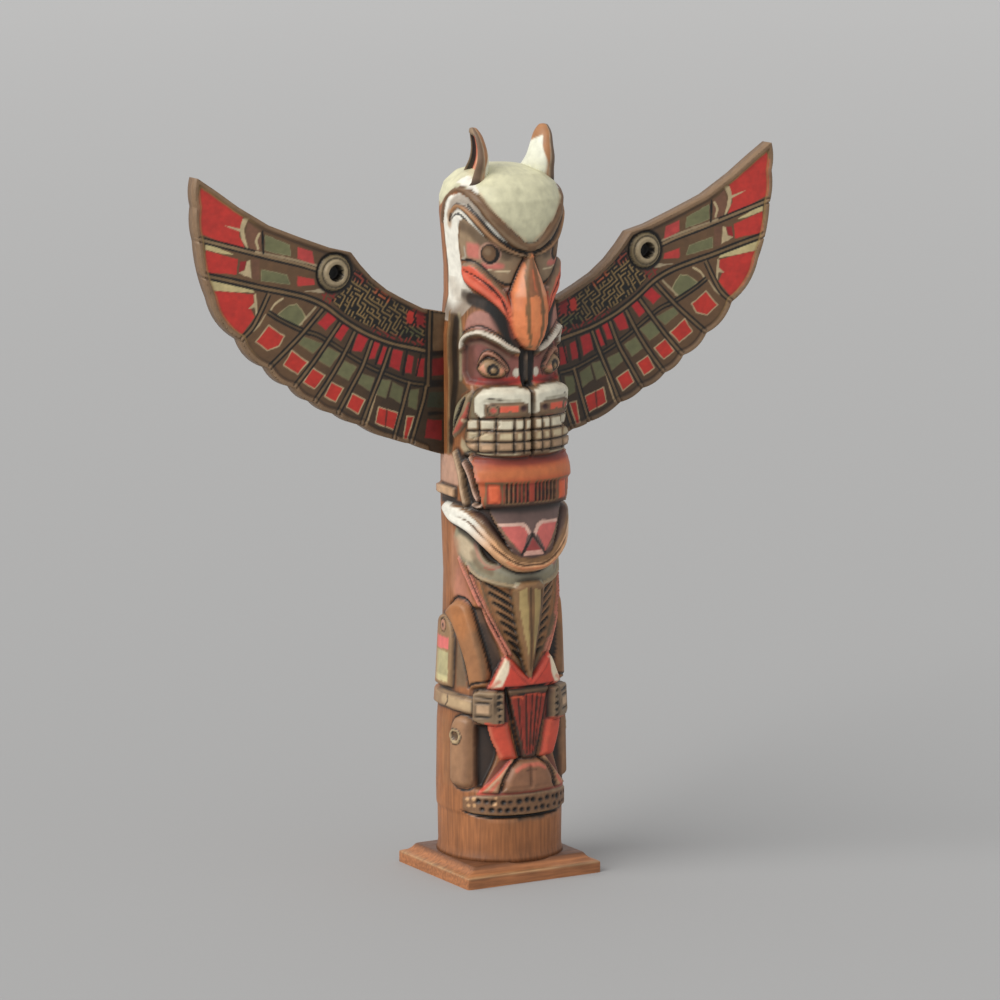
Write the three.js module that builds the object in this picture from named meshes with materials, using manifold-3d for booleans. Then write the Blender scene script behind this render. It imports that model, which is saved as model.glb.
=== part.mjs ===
// Carved and painted wooden totem pole, tabletop size: one round log carved with a bird head,
// a toothed face, a bowl-lipped bird with a long beak and a small red figure, on a square foot
// plate, with two flat feathered wings housed in slots in the log's sides.
// Millimetres, +Z up, front towards -Y. The origin is under the middle of the foot plate.
import * as THREE from "three";
import { LoftGeometry } from "three/addons/geometries/LoftGeometry.js";
import { mergeVertices } from "three/addons/utils/BufferGeometryUtils.js";
import Module from "manifold-3d";

const wasm = await Module();
wasm.setup();

// ---------------------------------------------------------------- driving dimensions
const HEIGHT = 450; // foot to ear tips
const GIRTH_RADIUS = 36; // carving is laid out by u, millimetres round the log at this radius
const SECTION_POWER = 2.3; // the log's section is a slightly squared circle
const LOG_SIDES = 32;
const DETAIL = 0.8; // how finely the carved lines are stepped
const POLE_TRIANGLES = 6800; // after the small and nearly flat edges are collapsed
const CLEARANCE = 0.3; // between one wooden piece and the next

const PLATE = { x: 92, y: 86, edge: 7, top: 12, flat: 38, slope: 2.2 };

// The log: [z, half width, front reach, back reach]
const LOG = [
  [PLATE.top + CLEARANCE, 36.6, 37.4, 36.4],
  [17, 35.6, 36.6, 35.6],
  [39, 35.9, 36.8, 35.9],
  [41, 36.6, 37.6, 36.5],
  [54, 36.8, 37.2, 36.8],
  [57, 36.7, 34.6, 36.7],
  [92, 36.2, 33.6, 36.4],
  [118, 34.2, 34.0, 35.4],
  [150, 32.6, 34.2, 34.0],
  [182, 32.0, 34.6, 33.2],
  [224, 33.8, 35.6, 33.8],
  [300, 33.8, 34.4, 33.6],
  [326, 34.0, 34.0, 33.6],
  [350, 31.6, 31.4, 32.6],
  [366, 31.6, 33.0, 32.8],
  [384, 33.0, 36.4, 33.8],
  [398, 34.4, 37.6, 34.6],
  [408, 34.2, 37.0, 34.6],
  [416, 31.4, 33.6, 32.4],
  [422.4, 24.6, 26.2, 26.0],
  [426.2, 13.6, 14.6, 14.4],
  [427.2, 5.0, 5.0, 5.0],
];

const BEAK = { // upper beak: [z, half width, front y]
  back: -24,
  rows: [
    [377, 1.6, -37.4], [371, 4.6, -39.2], [362, 8.4, -41.8], [353, 11.4, -44.0],
    [344, 12.6, -45.0], [335, 12.0, -45.2], [328, 9.6, -44.6], [323, 6.0, -43.2], [319.6, 2.2, -41.4],
  ],
};
const LONG_BEAK = { // the lower bird's beak: [z, half width, front y]
  back: -28,
  rows: [
    [181, 9.5, -38.4], [178, 11.2, -40.2], [165, 9.6, -40.6], [150, 7.0, -40.2], [136, 4.2, -39.4], [122, 1.2, -38.0],
  ],
};
const EAR = { // [z, centre x, centre y, half length front to back, half thickness]
  turn: 14.5, // degrees that the front edge leans outwards
  rows: [
    [408, 20.5, -3.5, 15.5, 8.6], [418, 20.8, -4.6, 15.0, 8.4], [424, 21.0, -7.6, 12.8, 7.4],
    [431, 21.2, -11.6, 10.6, 6.0], [438, 21.6, -12.4, 8.6, 4.8], [445, 22.8, -11.6, 6.6, 3.8], [HEIGHT, 24.0, -10.4, 2.6, 1.8],
  ],
};

const MUZZLE = { lift: 6.4, top: 298.5, foot: 256, reach: 40 };
const TEETH = { rows: [278.6, 272.4, 266, 260.4], columns: [-29.4, -20.2, -10.6], width: 1.5, depth: 2.2 };
const SCROLL = { top: 256.5, foot: 226, half: 45, side: 40, front: 38.6 };
const GOUGE = { top: 241, foot: 229, from: 3.4, to: 15.4, count: 4, width: 1.5, depth: 1.8 };
const BOWL = { // floor of the bowl-like mouth: [z, half angle in degrees, front reach]
  side: 34.4,
  rows: [[226.4, 36, 36.4], [220, 32, 37.4], [213, 26, 38.8], [206, 20, 40.2], [200, 14.5, 41.2], [196.4, 9, 40.8], [191, 5, 38.6]],
};
const GILL = { count: 8, top: 176, foot: 131, width: 1.7, depth: 1.8 };
const BUCKLE = { from: 15.5, to: 34, top: 116, foot: 95, lift: 4.6 };

const WING = {
  face: 8.2, // y of the carved face
  back: 17.2,
  rim: 1.0, // how far the raised rim stands in front of the carved face
  rimWidth: 2.6,
  root: 30, // x of the housed edge
  boss: { x: 106.5, z: 367.5, radius: 10, proud: 3.2, hole: 4.4, depth: 7 },
  groove: { width: 2.2, depth: 1.5 },
};
const WING_TOP = [ // upper edge from the root to the tip: [x, z]
  [32, 339], [47, 342.2], [60, 348.6], [72, 355.2], [82, 363], [90, 371.5], [96, 379],
  [110, 382.5], [130, 390], [150, 398], [170, 410], [184, 420], [196, 428],
];
const FEATHER_ENDS = [ // notches between the feather ends, from the tip back to the root
  [196.2, 411], [195, 391], [187, 357.5], [168.1, 331.9], [150, 314], [133.5, 301.6], [120.3, 291.8],
  [104.7, 283.6], [88.7, 276.1], [67.1, 265.8], [55.5, 262.4], [32, 253.6],
];
const FEATHER_BULGE = [1.2, 1.2, 1.6, 3.4, 3.0, 2.4, 1.8, 1.6, 1.4, 1.4, 0.6, 0.8];
const WING_LINES = [ // carved lines between feathers and feather rows
  [[42, 341], [44.5, 318], [45, 297], [49, 280], [55.2, 263.5]],
  [[44, 317], [60, 320.5], [75, 325.5], [90, 333], [100, 340], [108, 347], [116, 352.5], [130, 357], [150, 361.5], [170, 367], [190, 371.6]],
  [[45, 294], [60, 298], [73, 304], [85, 311], [97, 318], [108, 326], [118, 333], [130, 335.6], [144, 343], [156, 348]],
  [[57, 319], [59, 312], [63, 295], [66.6, 267]],
  [[68, 322], [74, 309], [80, 298], [88, 277.5]],
  [[80, 328], [86, 318], [92, 305], [104, 285]],
  [[92, 334], [98, 323], [108, 311], [119.6, 293]],
  [[100, 340], [112, 327], [123, 317], [132.8, 303]],
  [[113, 349], [128, 334], [140, 325], [149.4, 315.4]],
  [[150, 360], [156, 347.5], [160, 338], [167.4, 333]],
  [[116, 369], [128, 372.5], [150, 378], [170, 384], [194, 391]],
];

// ---------------------------------------------------------------- solids from three.js geometry
const solidOf = (geometry) => {
  let g = new THREE.BufferGeometry();
  g.setAttribute("position", geometry.attributes.position);
  if (geometry.index) g.setIndex(geometry.index);
  g = mergeVertices(g, 1e-4);
  return new wasm.Manifold(
    new wasm.Mesh({
      numProp: 3,
      vertProperties: new Float32Array(g.attributes.position.array),
      triVerts: new Uint32Array(g.index.array),
    }),
  );
};

const geometryOf = (solid) => {
  const mesh = solid.getMesh();
  const g = new THREE.BufferGeometry();
  g.setAttribute("position", new THREE.BufferAttribute(new Float32Array(mesh.vertProperties), 3));
  g.setIndex(new THREE.BufferAttribute(new Uint32Array(mesh.triVerts), 1));
  g.computeVertexNormals();
  return g;
};

// a closed loft through rings of points, turned the right way out whatever the rings' order
const middle = (ring) => ring.reduce((sum, p) => sum.add(p), new THREE.Vector3()).divideScalar(ring.length);
const facing = (ring) => {
  const normal = new THREE.Vector3();
  ring.forEach((p, i) => normal.add(new THREE.Vector3().crossVectors(p, ring[(i + 1) % ring.length])));
  return normal;
};
const loft = (sections) => {
  let forward = 0;
  for (let i = 1; i < sections.length; i++)
    forward += facing(sections[i]).dot(middle(sections[i]).sub(middle(sections[i - 1])));
  const rings = forward > 0 ? sections : sections.map((ring) => [...ring].reverse());
  return solidOf(new LoftGeometry(rings, { capStart: true, capEnd: true }));
};

// the same solid with its shortest and flattest edges collapsed until `target` triangles are left
const simplified = (solid, target) => {
  const mesh = solid.getMesh();
  const at = Array.from({ length: mesh.numVert }, (_, i) => new THREE.Vector3().fromArray(mesh.vertProperties, 3 * i));
  const faces = Array.from({ length: mesh.numTri }, (_, i) => [...mesh.triVerts.subarray(3 * i, 3 * i + 3)]);
  const around = at.map(() => new Set());
  faces.forEach((face, i) => face.forEach((v) => around[v].add(i)));
  const cross = new THREE.Vector3();
  const edge = new THREE.Vector3();
  const normal = (a, b, c) => new THREE.Vector3().crossVectors(cross.subVectors(b, a), edge.subVectors(c, a));
  // each vertex holds the sum of its faces' planes as a symmetric 4 x 4 form
  const plane = (face) => {
    const n = normal(...face.map((v) => at[v]));
    const area = n.length();
    if (area < 1e-9) return new Array(10).fill(0);
    n.divideScalar(area);
    const d = -n.dot(at[face[0]]);
    const { x, y, z } = n;
    return [x * x, x * y, x * z, x * d, y * y, y * z, y * d, z * z, z * d, d * d].map((v) => v * area);
  };
  const form = at.map(() => new Array(10).fill(0));
  faces.forEach((face) => {
    const p = plane(face);
    face.forEach((v) => p.forEach((value, k) => (form[v][k] += value)));
  });
  const error = (q, { x, y, z }) =>
    q[0] * x * x + 2 * q[1] * x * y + 2 * q[2] * x * z + 2 * q[3] * x + q[4] * y * y + 2 * q[5] * y * z +
    2 * q[6] * y + q[7] * z * z + 2 * q[8] * z + q[9];
  const neighbours = (v) => {
    const near = new Set();
    around[v].forEach((f) => faces[f].forEach((w) => w !== v && near.add(w)));
    return near;
  };
  const price = (a, b) => {
    const q = form[a].map((v, k) => v + form[b][k]);
    const length = at[a].distanceTo(at[b]);
    let best = null;
    for (const point of [at[a], at[b], at[a].clone().lerp(at[b], 0.5)]) {
      const cost = Math.max(0, error(q, point)) + 2e-4 * length ** 3;
      if (!best || cost < best.cost) best = { cost, point, q };
    }
    return best;
  };
  // a heap of edges, cheapest first; an entry is stale when either end has changed since
  const stamp = at.map(() => 0);
  const heap = [];
  const push = (a, b) => {
    const entry = { a, b, sa: stamp[a], sb: stamp[b], ...price(a, b) };
    let i = heap.push(entry) - 1;
    while (i > 0 && heap[(i - 1) >> 1].cost > entry.cost) {
      heap[i] = heap[(i - 1) >> 1];
      i = (i - 1) >> 1;
    }
    heap[i] = entry;
  };
  const pop = () => {
    const top = heap[0];
    const last = heap.pop();
    if (heap.length) {
      let i = 0;
      for (;;) {
        let k = 2 * i + 1;
        if (k >= heap.length) break;
        if (k + 1 < heap.length && heap[k + 1].cost < heap[k].cost) k++;
        if (heap[k].cost >= last.cost) break;
        heap[i] = heap[k];
        i = k;
      }
      heap[i] = last;
    }
    return top;
  };
  at.forEach((_, v) => neighbours(v).forEach((w) => v < w && push(v, w)));
  let count = faces.length;
  while (count > target && heap.length) {
    const { a, b, sa, sb, point, q } = pop();
    if (stamp[a] !== sa || stamp[b] !== sb || !around[a].size || !around[b].size) continue;
    const nearB = neighbours(b);
    if ([...neighbours(a)].filter((v) => nearB.has(v)).length !== 2) continue; // stays one closed surface
    const keeps = (v, other) =>
      [...around[v]].every((f) => {
        const face = faces[f];
        if (face.includes(other)) return true;
        const old = normal(...face.map((w) => at[w]));
        const next = normal(...face.map((w) => (w === v ? point : at[w])));
        return next.length() > 1e-4 && old.dot(next) > 0.35 * old.length() * next.length();
      });
    if (!keeps(a, b) || !keeps(b, a)) continue;
    [...around[b]].forEach((f) => {
      const face = faces[f];
      if (face.includes(a)) {
        face.forEach((v) => around[v].delete(f));
        count--;
      } else {
        face[face.indexOf(b)] = a;
        around[a].add(f);
      }
    });
    around[b] = new Set();
    at[a] = point.clone();
    form[a] = q;
    stamp[a]++;
    stamp[b]++;
    const near = neighbours(a);
    near.forEach((v) => push(a, v));
  }
  const used = new Map();
  const kept = new Set();
  around.forEach((set) => set.forEach((f) => kept.add(f)));
  const triVerts = [];
  const vertProperties = [];
  kept.forEach((f) =>
    faces[f].forEach((v) => {
      if (!used.has(v)) {
        used.set(v, used.size);
        vertProperties.push(at[v].x, at[v].y, at[v].z);
      }
      triVerts.push(used.get(v));
    }),
  );
  return new wasm.Manifold(
    new wasm.Mesh({ numProp: 3, vertProperties: new Float32Array(vertProperties), triVerts: new Uint32Array(triVerts) }),
  );
};

const joined = (solids) => solids.reduce((a, b) => a.add(b));
const placed = (geometry, move) => solidOf(geometry.applyMatrix4(move));

// ---------------------------------------------------------------- the log's own surface
const logRow = (z) => {
  const last = LOG.length - 1;
  if (z <= LOG[0][0]) return LOG[0].slice(1);
  for (let i = 0; i < last; i++) {
    const [z0, ...a] = LOG[i];
    const [z1, ...b] = LOG[i + 1];
    if (z <= z1) return a.map((v, k) => v + ((b[k] - v) * (z - z0)) / (z1 - z0));
  }
  return LOG[last].slice(1);
};
const logRadius = (angle, z) => {
  const [side, front, back] = logRow(z);
  const s = Math.abs(Math.sin(angle)) / side;
  const c = Math.abs(Math.cos(angle)) / (Math.cos(angle) > 0 ? front : back);
  return (s ** SECTION_POWER + c ** SECTION_POWER) ** (-1 / SECTION_POWER);
};
// u millimetres round from the front centre line (+ is +X), at height z, lifted off the log
const onLog = (u, z, lift) => {
  const angle = u / GIRTH_RADIUS;
  const r = logRadius(angle, z) + lift;
  return new THREE.Vector3(r * Math.sin(angle), -r * Math.cos(angle), z);
};
const onWing = (side) => (x, z, lift) => new THREE.Vector3(side * x, WING.face - lift, z);

// ---------------------------------------------------------------- carving on a surface
const few = (steps) => Math.max(1, Math.round(steps * DETAIL));
const spline = (points, steps) =>
  new THREE.SplineCurve(points.map(([a, b]) => new THREE.Vector2(a, b))).getSpacedPoints(steps);

// A carved area between two edge lines, from `root` below the surface up to the lifts given
// across it. With a root above the lifts it is the tool that cuts such an area.
const area = (map, edgeA, edgeB, options = {}) => {
  const { lifts = [0.5, 1, 0.5], lift = 2, root = -5, ends = [1, 1] } = options;
  const steps = few(options.steps ?? 7);
  const a = spline(edgeA, steps);
  const b = spline(edgeB, steps);
  const sections = a.map((p, i) => {
    const q = b[i];
    const t = i / steps;
    const fade = Math.min(1, i === 0 ? ends[0] : 1, i === steps ? ends[1] : 1);
    const high = typeof lift === "function" ? lift(t) : lift;
    const ring = lifts.map((part, k) => {
      const s = k / (lifts.length - 1);
      return map(p.x + (q.x - p.x) * s, p.y + (q.y - p.y) * s, part * high * fade);
    });
    ring.push(map(q.x, q.y, root), map(p.x, p.y, root));
    return ring;
  });
  return loft(sections);
};

// The same along one line, of the given width (a number, or a function of the way along)
const ribbon = (map, line, width, options = {}) => {
  const steps = few(options.steps ?? 7);
  const p = spline(line, steps);
  const half = (t) => (typeof width === "function" ? width(t) : width) / 2;
  const edge = (sign) =>
    p.map((c, i) => {
      const a = p[Math.max(0, i - 1)];
      const b = p[Math.min(steps, i + 1)];
      const d = new THREE.Vector2().subVectors(b, a).normalize();
      const h = half(i / steps) * sign;
      return [c.x - d.y * h, c.y + d.x * h];
    });
  return areaFixed(map, edge(1), edge(-1), options);
};
const areaFixed = (map, a, b, { lifts = [0.45, 1, 0.45], lift = 1.5, root = -4 } = {}) =>
  loft(
    a.map((p, i) => {
      const q = b[i];
      const high = typeof lift === "function" ? lift(i / (a.length - 1)) : lift;
      const ring = lifts.map((part, k) => {
        const s = k / (lifts.length - 1);
        return map(p[0] + (q[0] - p[0]) * s, p[1] + (q[1] - p[1]) * s, part * high);
      });
      ring.push(map(q[0], q[1], root), map(p[0], p[1], root));
      return ring;
    }),
  );
const CUT = { lifts: [0.6, 1, 0.6], root: 8 };
const cut = (map, line, width, depth, steps = 6) => ribbon(map, line, width, { ...CUT, lift: -depth, steps });
const hollow = (map, a, b, depth, steps = 7) =>
  area(map, a, b, { lifts: [0.75, 1, 0.75], lift: -depth, root: 8, steps });

const round = (map, u, z, radius, low, high, sides = 12) => {
  const foot = map(u, z, low);
  const head = map(u, z, high);
  const along = new THREE.Vector3().subVectors(head, foot);
  const move = new THREE.Matrix4().compose(
    foot.clone().add(head).multiplyScalar(0.5),
    new THREE.Quaternion().setFromUnitVectors(new THREE.Vector3(0, 1, 0), along.clone().normalize()),
    new THREE.Vector3(1, 1, 1),
  );
  return placed(new THREE.CylinderGeometry(radius, radius, along.length(), sides), move);
};
const ball = (map, u, z, radius, lift) => {
  const at = map(u, z, lift);
  return placed(new THREE.SphereGeometry(radius, 10, 6), new THREE.Matrix4().makeTranslation(at.x, at.y, at.z));
};
const flip = (line, side) => line.map(([u, z]) => [u * side, z]);

// ---------------------------------------------------------------- the log
const logSections = LOG.map(([z]) =>
  Array.from({ length: LOG_SIDES }, (_, i) => onLog(((i + 0.5) / LOG_SIDES) * 2 * Math.PI * GIRTH_RADIUS, z, 0)),
);
let pole = loft(logSections);

// a keel-like form on the front centre line: rows of [z, half width, front y]
const keel = ({ rows, back }) =>
  loft(
    rows.map(([z, half, front]) =>
      [
        [-1, 0.42], [-0.86, 0.7], [-0.5, 0.93], [0, 1], [0.5, 0.93], [0.86, 0.7], [1, 0.42], [0.9, 0], [-0.9, 0],
      ].map(([x, d]) => new THREE.Vector3(half * x, back + (front - back) * d, z)),
    ),
  );

const ear = (side, shrink = 1, shift = 0, from = 0) => {
  const turn = THREE.MathUtils.degToRad(EAR.turn);
  return loft(
    EAR.rows.slice(from).map(([z, cx, cy, long, thick]) =>
      Array.from({ length: 12 }, (_, i) => {
        const a = (i / 12) * 2 * Math.PI;
        const l = long * shrink * Math.cos(a);
        const t = thick * (shrink * Math.sin(a) + shift);
        return new THREE.Vector3(
          side * (cx + t * Math.cos(turn) - l * Math.sin(turn)),
          cy + t * Math.sin(turn) + l * Math.cos(turn),
          z - (shift ? 2 : 0),
        );
      }),
    ),
  );
};

const raised = [];
const carved = [];
const fine = [];
// the bowl's lip stands out most where it passes the corners of the flat-fronted mouth
const lipLift = (t) => (t < 0.34 ? 5.8 + 5 * t : 7.5 - 8.9 * (t - 0.34));

for (const side of [-1, 1]) {
  const log = (u, z, lift) => onLog(u * side, z, lift);
  const line = (points) => points.map(([u, z]) => [-u, z]); // lines are written for the -u half

  // upper bird: ears, brows, eye, mouth band
  raised.push(ear(side));
  raised.push(area(log, line([[-1, 383], [-10, 389], [-20, 399], [-29, 410], [-38, 414], [-48, 415], [-57, 412], [-64, 404], [-68, 390]]),
    line([[-1, 377.6], [-8, 380], [-16, 386], [-25, 396], [-33, 406], [-42, 411], [-50, 411.6], [-58, 406], [-64, 390]]),
    { lifts: [0.35, 1, 0.8], lift: (t) => 2.6 - 1.9 * t, steps: 12 }));
  raised.push(ribbon(log, line([[-2, 375.4], [-10, 377], [-20, 383.6], [-30, 394], [-38, 401.6], [-46, 404], [-52, 400], [-55, 392]]),
    (t) => 4.8 - 2.4 * t, { lift: (t) => 2.6 - 1.2 * t, steps: 10 }));
  fine.push(cut(log, line([[-4, 377.2], [-13, 381.4], [-24, 391], [-33, 401.2], [-42, 407.6]]), 2.4, 2.2, 7));
  carved.push(hollow(log, line([[-5, 375], [-12, 377.6], [-20, 381.4], [-30, 388], [-39, 395], [-45, 395], [-48, 385]]),
    line([[-8, 361], [-14, 359.4], [-20, 362], [-27, 367.4], [-35, 370.6], [-43, 372], [-47, 375]]), 4.6, 8));
  raised.push(ball(log, 25, 377, 5.4, -4.4));
  raised.push(area(log, line([[-46.5, 366], [-44, 370], [-36, 371.4], [-29, 367.6], [-21, 360.6], [-13, 353], [-8, 346]]),
    line([[-46, 364], [-43, 359.4], [-36, 355.4], [-27, 350.4], [-19, 344], [-13, 336], [-9.5, 327]]),
    { lifts: [0.6, 1, 0.4], lift: (t) => 1.4 + 3.6 * t, steps: 8 }));
  fine.push(cut(log, line([[-43, 366], [-34, 363.4], [-25, 357.6], [-17, 349], [-12, 338]]), 1.5, -0.4, 6));
  carved.push(hollow(log, line([[-38, 355], [-28, 350], [-19, 343.4], [-13, 335], [-10, 327]]),
    line([[-36, 347], [-27, 344], [-20, 338.6], [-14.6, 331], [-11, 325]]), 4.2, 6));

  // toothed face: brow, eye, cheek leaf, muzzle with teeth
  raised.push(ribbon(log, line([[-45, 321], [-40, 327], [-30, 330], [-20, 326], [-12, 320.6], [-6, 318.6]]), 3.8, { lift: 2.4, steps: 7 }));
  carved.push(hollow(log, line([[-6, 315.6], [-14, 317], [-20, 322], [-30, 326], [-38, 324], [-43, 318]]),
    line([[-6, 300], [-14, 299.4], [-21, 299.4], [-30, 299.4], [-38, 300.4], [-43, 304]]), 2.6, 6));
  raised.push(area(log, line([[-34, 309], [-31, 315], [-25, 318], [-19, 315], [-14.6, 309]]), line([[-34, 307], [-29, 303.6], [-24, 302.4], [-19, 303], [-14.6, 306]]),
    { lifts: [0, 1, 0], lift: 1.6, steps: 8 }));
  fine.push(cut(log, line([[-23, 313.4], [-20.4, 312], [-19.4, 309], [-20.6, 306], [-23, 304.8], [-25.4, 306], [-26.6, 309], [-25.4, 312], [-23.6, 313.2]]), 1.4, -0.2, 10));
  raised.push(area(log, line([[-37, 296], [-44, 290.4], [-49, 282], [-52, 268]]), line([[-34, 292], [-37, 281.6], [-43, 273], [-51, 266.6]]),
    { lifts: [0.5, 1, 0.5], lift: 3.6, steps: 6, ends: [0.5, 0.4] }));
  fine.push(cut(log, line([[-39, 290], [-43.4, 281], [-49, 270.6]]), 1.6, -1.4, 5));
  raised.push(area(log, line([[-0.7, 296], [-8, 298.4], [-20, 298.6], [-30, 297.6], [-36, 293], [-38.5, 284], [-41, 272]]),
    line([[-0.7, 256.4], [-9, 255.6], [-20, 256], [-28, 257], [-35, 259.6], [-39.5, 262.6], [-41.4, 268]]),
    { lifts: [0.7, 1, 1, 0.6], lift: (t) => MUZZLE.lift * (1 - 0.7 * t ** 5), steps: 10, ends: [0.9, 0.4] }));
  TEETH.rows.forEach((z, i) =>
    fine.push(cut(log, line([[0, z], [-14, z], [-27, z - 0.4], [-37 - i, z - 1.2]]), TEETH.width, TEETH.depth - MUZZLE.lift, 5)));
  TEETH.columns.forEach((u) =>
    fine.push(cut(log, line([[u, 279], [u - 0.4, 268], [u - 0.2, 258]]), TEETH.width, TEETH.depth - MUZZLE.lift, 2)));
  raised.push(ribbon(log, line([[-26, 285.8], [-20, 286], [-14, 285.8], [-7.4, 285]]), 7, { lift: MUZZLE.lift + 1.3, lifts: [0.85, 1, 0.85], root: 2, steps: 4 }));
  raised.push(ribbon(log, line([[-46, 337], [-47.4, 320], [-47.6, 300]]), 6.5, { lift: 1.3, steps: 4 }));

  // bound scroll: three rolled edges at its end, an arm and a peg behind them
  raised.push(ribbon(log, line([[-34, 252], [-28.4, 243], [-26.4, 233], [-29, 226.6]]), 3, { lift: 4.6, steps: 5 }));
  raised.push(ribbon(log, line([[-41, 253], [-36, 243.6], [-32.4, 231]]), 3.6, { lift: 3.6, steps: 5 }));
  raised.push(ribbon(log, line([[-48.6, 256], [-43.6, 241], [-40, 227.4]]), 4, { lift: 2.6, steps: 5 }));
  raised.push(ribbon(log, line([[-74, 232.4], [-61, 233.4], [-48, 233.4]]), 6.2, { lift: 2.4, lifts: [0.9, 1, 0.9], steps: 4 }));
  for (let i = 0; i < GOUGE.count; i++) {
    const u = GOUGE.from + ((GOUGE.to - GOUGE.from) * i) / (GOUGE.count - 1);
    fine.push(cut(log, [[u, GOUGE.top], [u, GOUGE.foot]], GOUGE.width, GOUGE.depth - 3.6, 1));
  }

  // bowl lip of the lower bird
  raised.push(area(log, line([[0, 197], [-7, 198.6], [-14, 204], [-21, 213], [-28, 222], [-38, 225], [-50, 226.4], [-60, 226.4], [-69, 222.6]]),
    line([[0, 186.6], [-9, 187.6], [-19, 193.4], [-28, 202], [-37, 209.6], [-45, 212.8], [-54, 214.6], [-62, 218], [-69, 221.6]]),
    { lifts: [0.94, 1, 0.5], lift: lipLift, steps: 14 }));
  fine.push(ribbon(log, line([[-8, 192.8], [-17, 199], [-26, 208.6], [-34, 216.6], [-44, 219.4]]), 1.2,
    { lifts: [1, 1, 1], lift: (t) => lipLift(0.12 + 0.58 * t) * 0.72, root: 12, steps: 7 }));
  carved.push(hollow(log, line([[-31, 204.6], [-27, 201], [-22, 196.4], [-18.4, 193]]), line([[-31, 202], [-28, 195.6], [-24, 192.6], [-18.4, 191.8]]), 2.4, 4));

  // lower bird: cheek line, jaw ridges, gill slits
  raised.push(ribbon(log, line([[-41, 192], [-32, 184.6], [-21, 180.6], [-10, 179]]), 3, { lift: 1.5, steps: 6 }));
  raised.push(ribbon(log, line([[-48, 194], [-39, 180], [-28, 161], [-15, 137.6]]), 2.2, { lift: 1.9, steps: 5 }));
  raised.push(ribbon(log, line([[-40, 188], [-34, 177], [-23.6, 158.6], [-11.6, 137]]), 2.2, { lift: 1.9, steps: 5 }));
  carved.push(hollow(log, line([[-10, 178], [-19, 179], [-30, 181.6]]), line([[-3.6, 135], [-8, 137.4], [-11.6, 139]]), 1.6, 5));
  for (let i = 0; i < GILL.count; i++) {
    const t = i / (GILL.count - 1);
    const z = GILL.top + (GILL.foot + 6 - GILL.top) * t;
    const outer = -27 + 16.6 * t;
    const inner = -10.6 + 6.6 * t;
    fine.push(cut(log, line([[outer, z + 4.6 - 2.2 * t], [(outer + inner) / 2, z], [inner, z - 4.4 + 1.4 * t]]), GILL.width, 1.6 + GILL.depth, 3));
  }

  // folded limb, side post, belt, buckle, pocket
  raised.push(area(log, line([[-61, 161], [-55, 166], [-47, 168.8], [-40, 166.4], [-35.6, 158], [-30.4, 145], [-25, 128], [-24, 118]]),
    line([[-61, 157], [-56.6, 155], [-52, 150.6], [-46, 141.6], [-42, 133.4], [-39.6, 126], [-38, 119.6], [-37.4, 116]]),
    { lifts: [0.7, 1, 0.7], lift: 3.4, steps: 10 }));
  carved.push(hollow(log, line([[-38, 166], [-33, 154], [-27.4, 138], [-23.6, 126]]), line([[-31, 164], [-25, 153], [-18.6, 141], [-16.4, 132]]), 2.4, 5));
  raised.push(area(log, line([[-51.4, 114.6], [-51.4, 130], [-51.4, 144], [-54, 154]]), line([[-76, 113], [-76, 130], [-76, 144], [-75, 156]]),
    { lifts: [0.75, 1, 0.75], lift: 2.4, steps: 6 }));
  fine.push(cut(log, line([[-51, 117], [-49.4, 130], [-49.4, 142], [-52, 151]]), 2.4, 1.6, 4));
  raised.push(ribbon(log, line([[-78, 106.6], [-60, 107.4], [-46, 107], [-33, 105.6]]), 9.6, { lift: 2.4, lifts: [0.6, 1, 0.6], steps: 6 }));
  raised.push(area(log, line([[-BUCKLE.to, BUCKLE.top - 1.4], [-25, BUCKLE.top], [-BUCKLE.from, BUCKLE.top - 1]]),
    line([[-BUCKLE.to, BUCKLE.foot + 1.4], [-25, BUCKLE.foot], [-BUCKLE.from, BUCKLE.foot + 0.6]]),
    { lifts: [0.9, 1, 0.9], lift: BUCKLE.lift, steps: 4 }));
  fine.push(cut(log, line([[-20.8, BUCKLE.top], [-20.8, BUCKLE.foot]]), 1.2, 1.4 - BUCKLE.lift, 1));
  for (const z of [111.6, 100.6]) fine.push(cut(log, line([[-32.4, z], [-22.6, z - 0.4]]), 1.2, 1.4 - BUCKLE.lift, 2));
  raised.push(area(log, line([[-51.4, 56], [-51.4, 70], [-51, 90], [-45, 98.6]]), line([[-35, 58], [-34.6, 70], [-34.4, 90], [-36, 98.6]]),
    { lifts: [0.4, 1, 0.85], lift: 2.4, steps: 6 }));
  carved.push(hollow(log, line([[-33.6, 96], [-33.6, 78], [-33, 57]]), line([[-26, 95], [-21, 78], [-27, 57]]), 3.6, 4));

  // red figure: shoulders, legs, skirt slopes
  raised.push(area(log, line([[0, 123.4], [-6, 129], [-11, 134.6], [-15.4, 137], [-20, 130], [-29, 116.6]]),
    line([[0, 117], [-7, 117], [-13, 117], [-18, 117], [-23, 116.6], [-29.6, 116]]), { lifts: [0.9, 1, 0.9], lift: 3.8, steps: 5 }));
  raised.push(area(log, line([[-26.6, 97], [-24.6, 88], [-18, 74.6]]), line([[-14, 97], [-11.8, 88], [-8.4, 74.6]]), { lift: 3, steps: 4 }));
  raised.push(area(log, line([[-13, 74.6], [-19, 66], [-30, 54.4]]), line([[-10, 74], [-14, 64], [-19, 54]]), { lift: 3.2, steps: 4 }));
}

// pieces on the centre line
const log = onLog;
raised.push(keel(BEAK), keel(LONG_BEAK));
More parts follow.
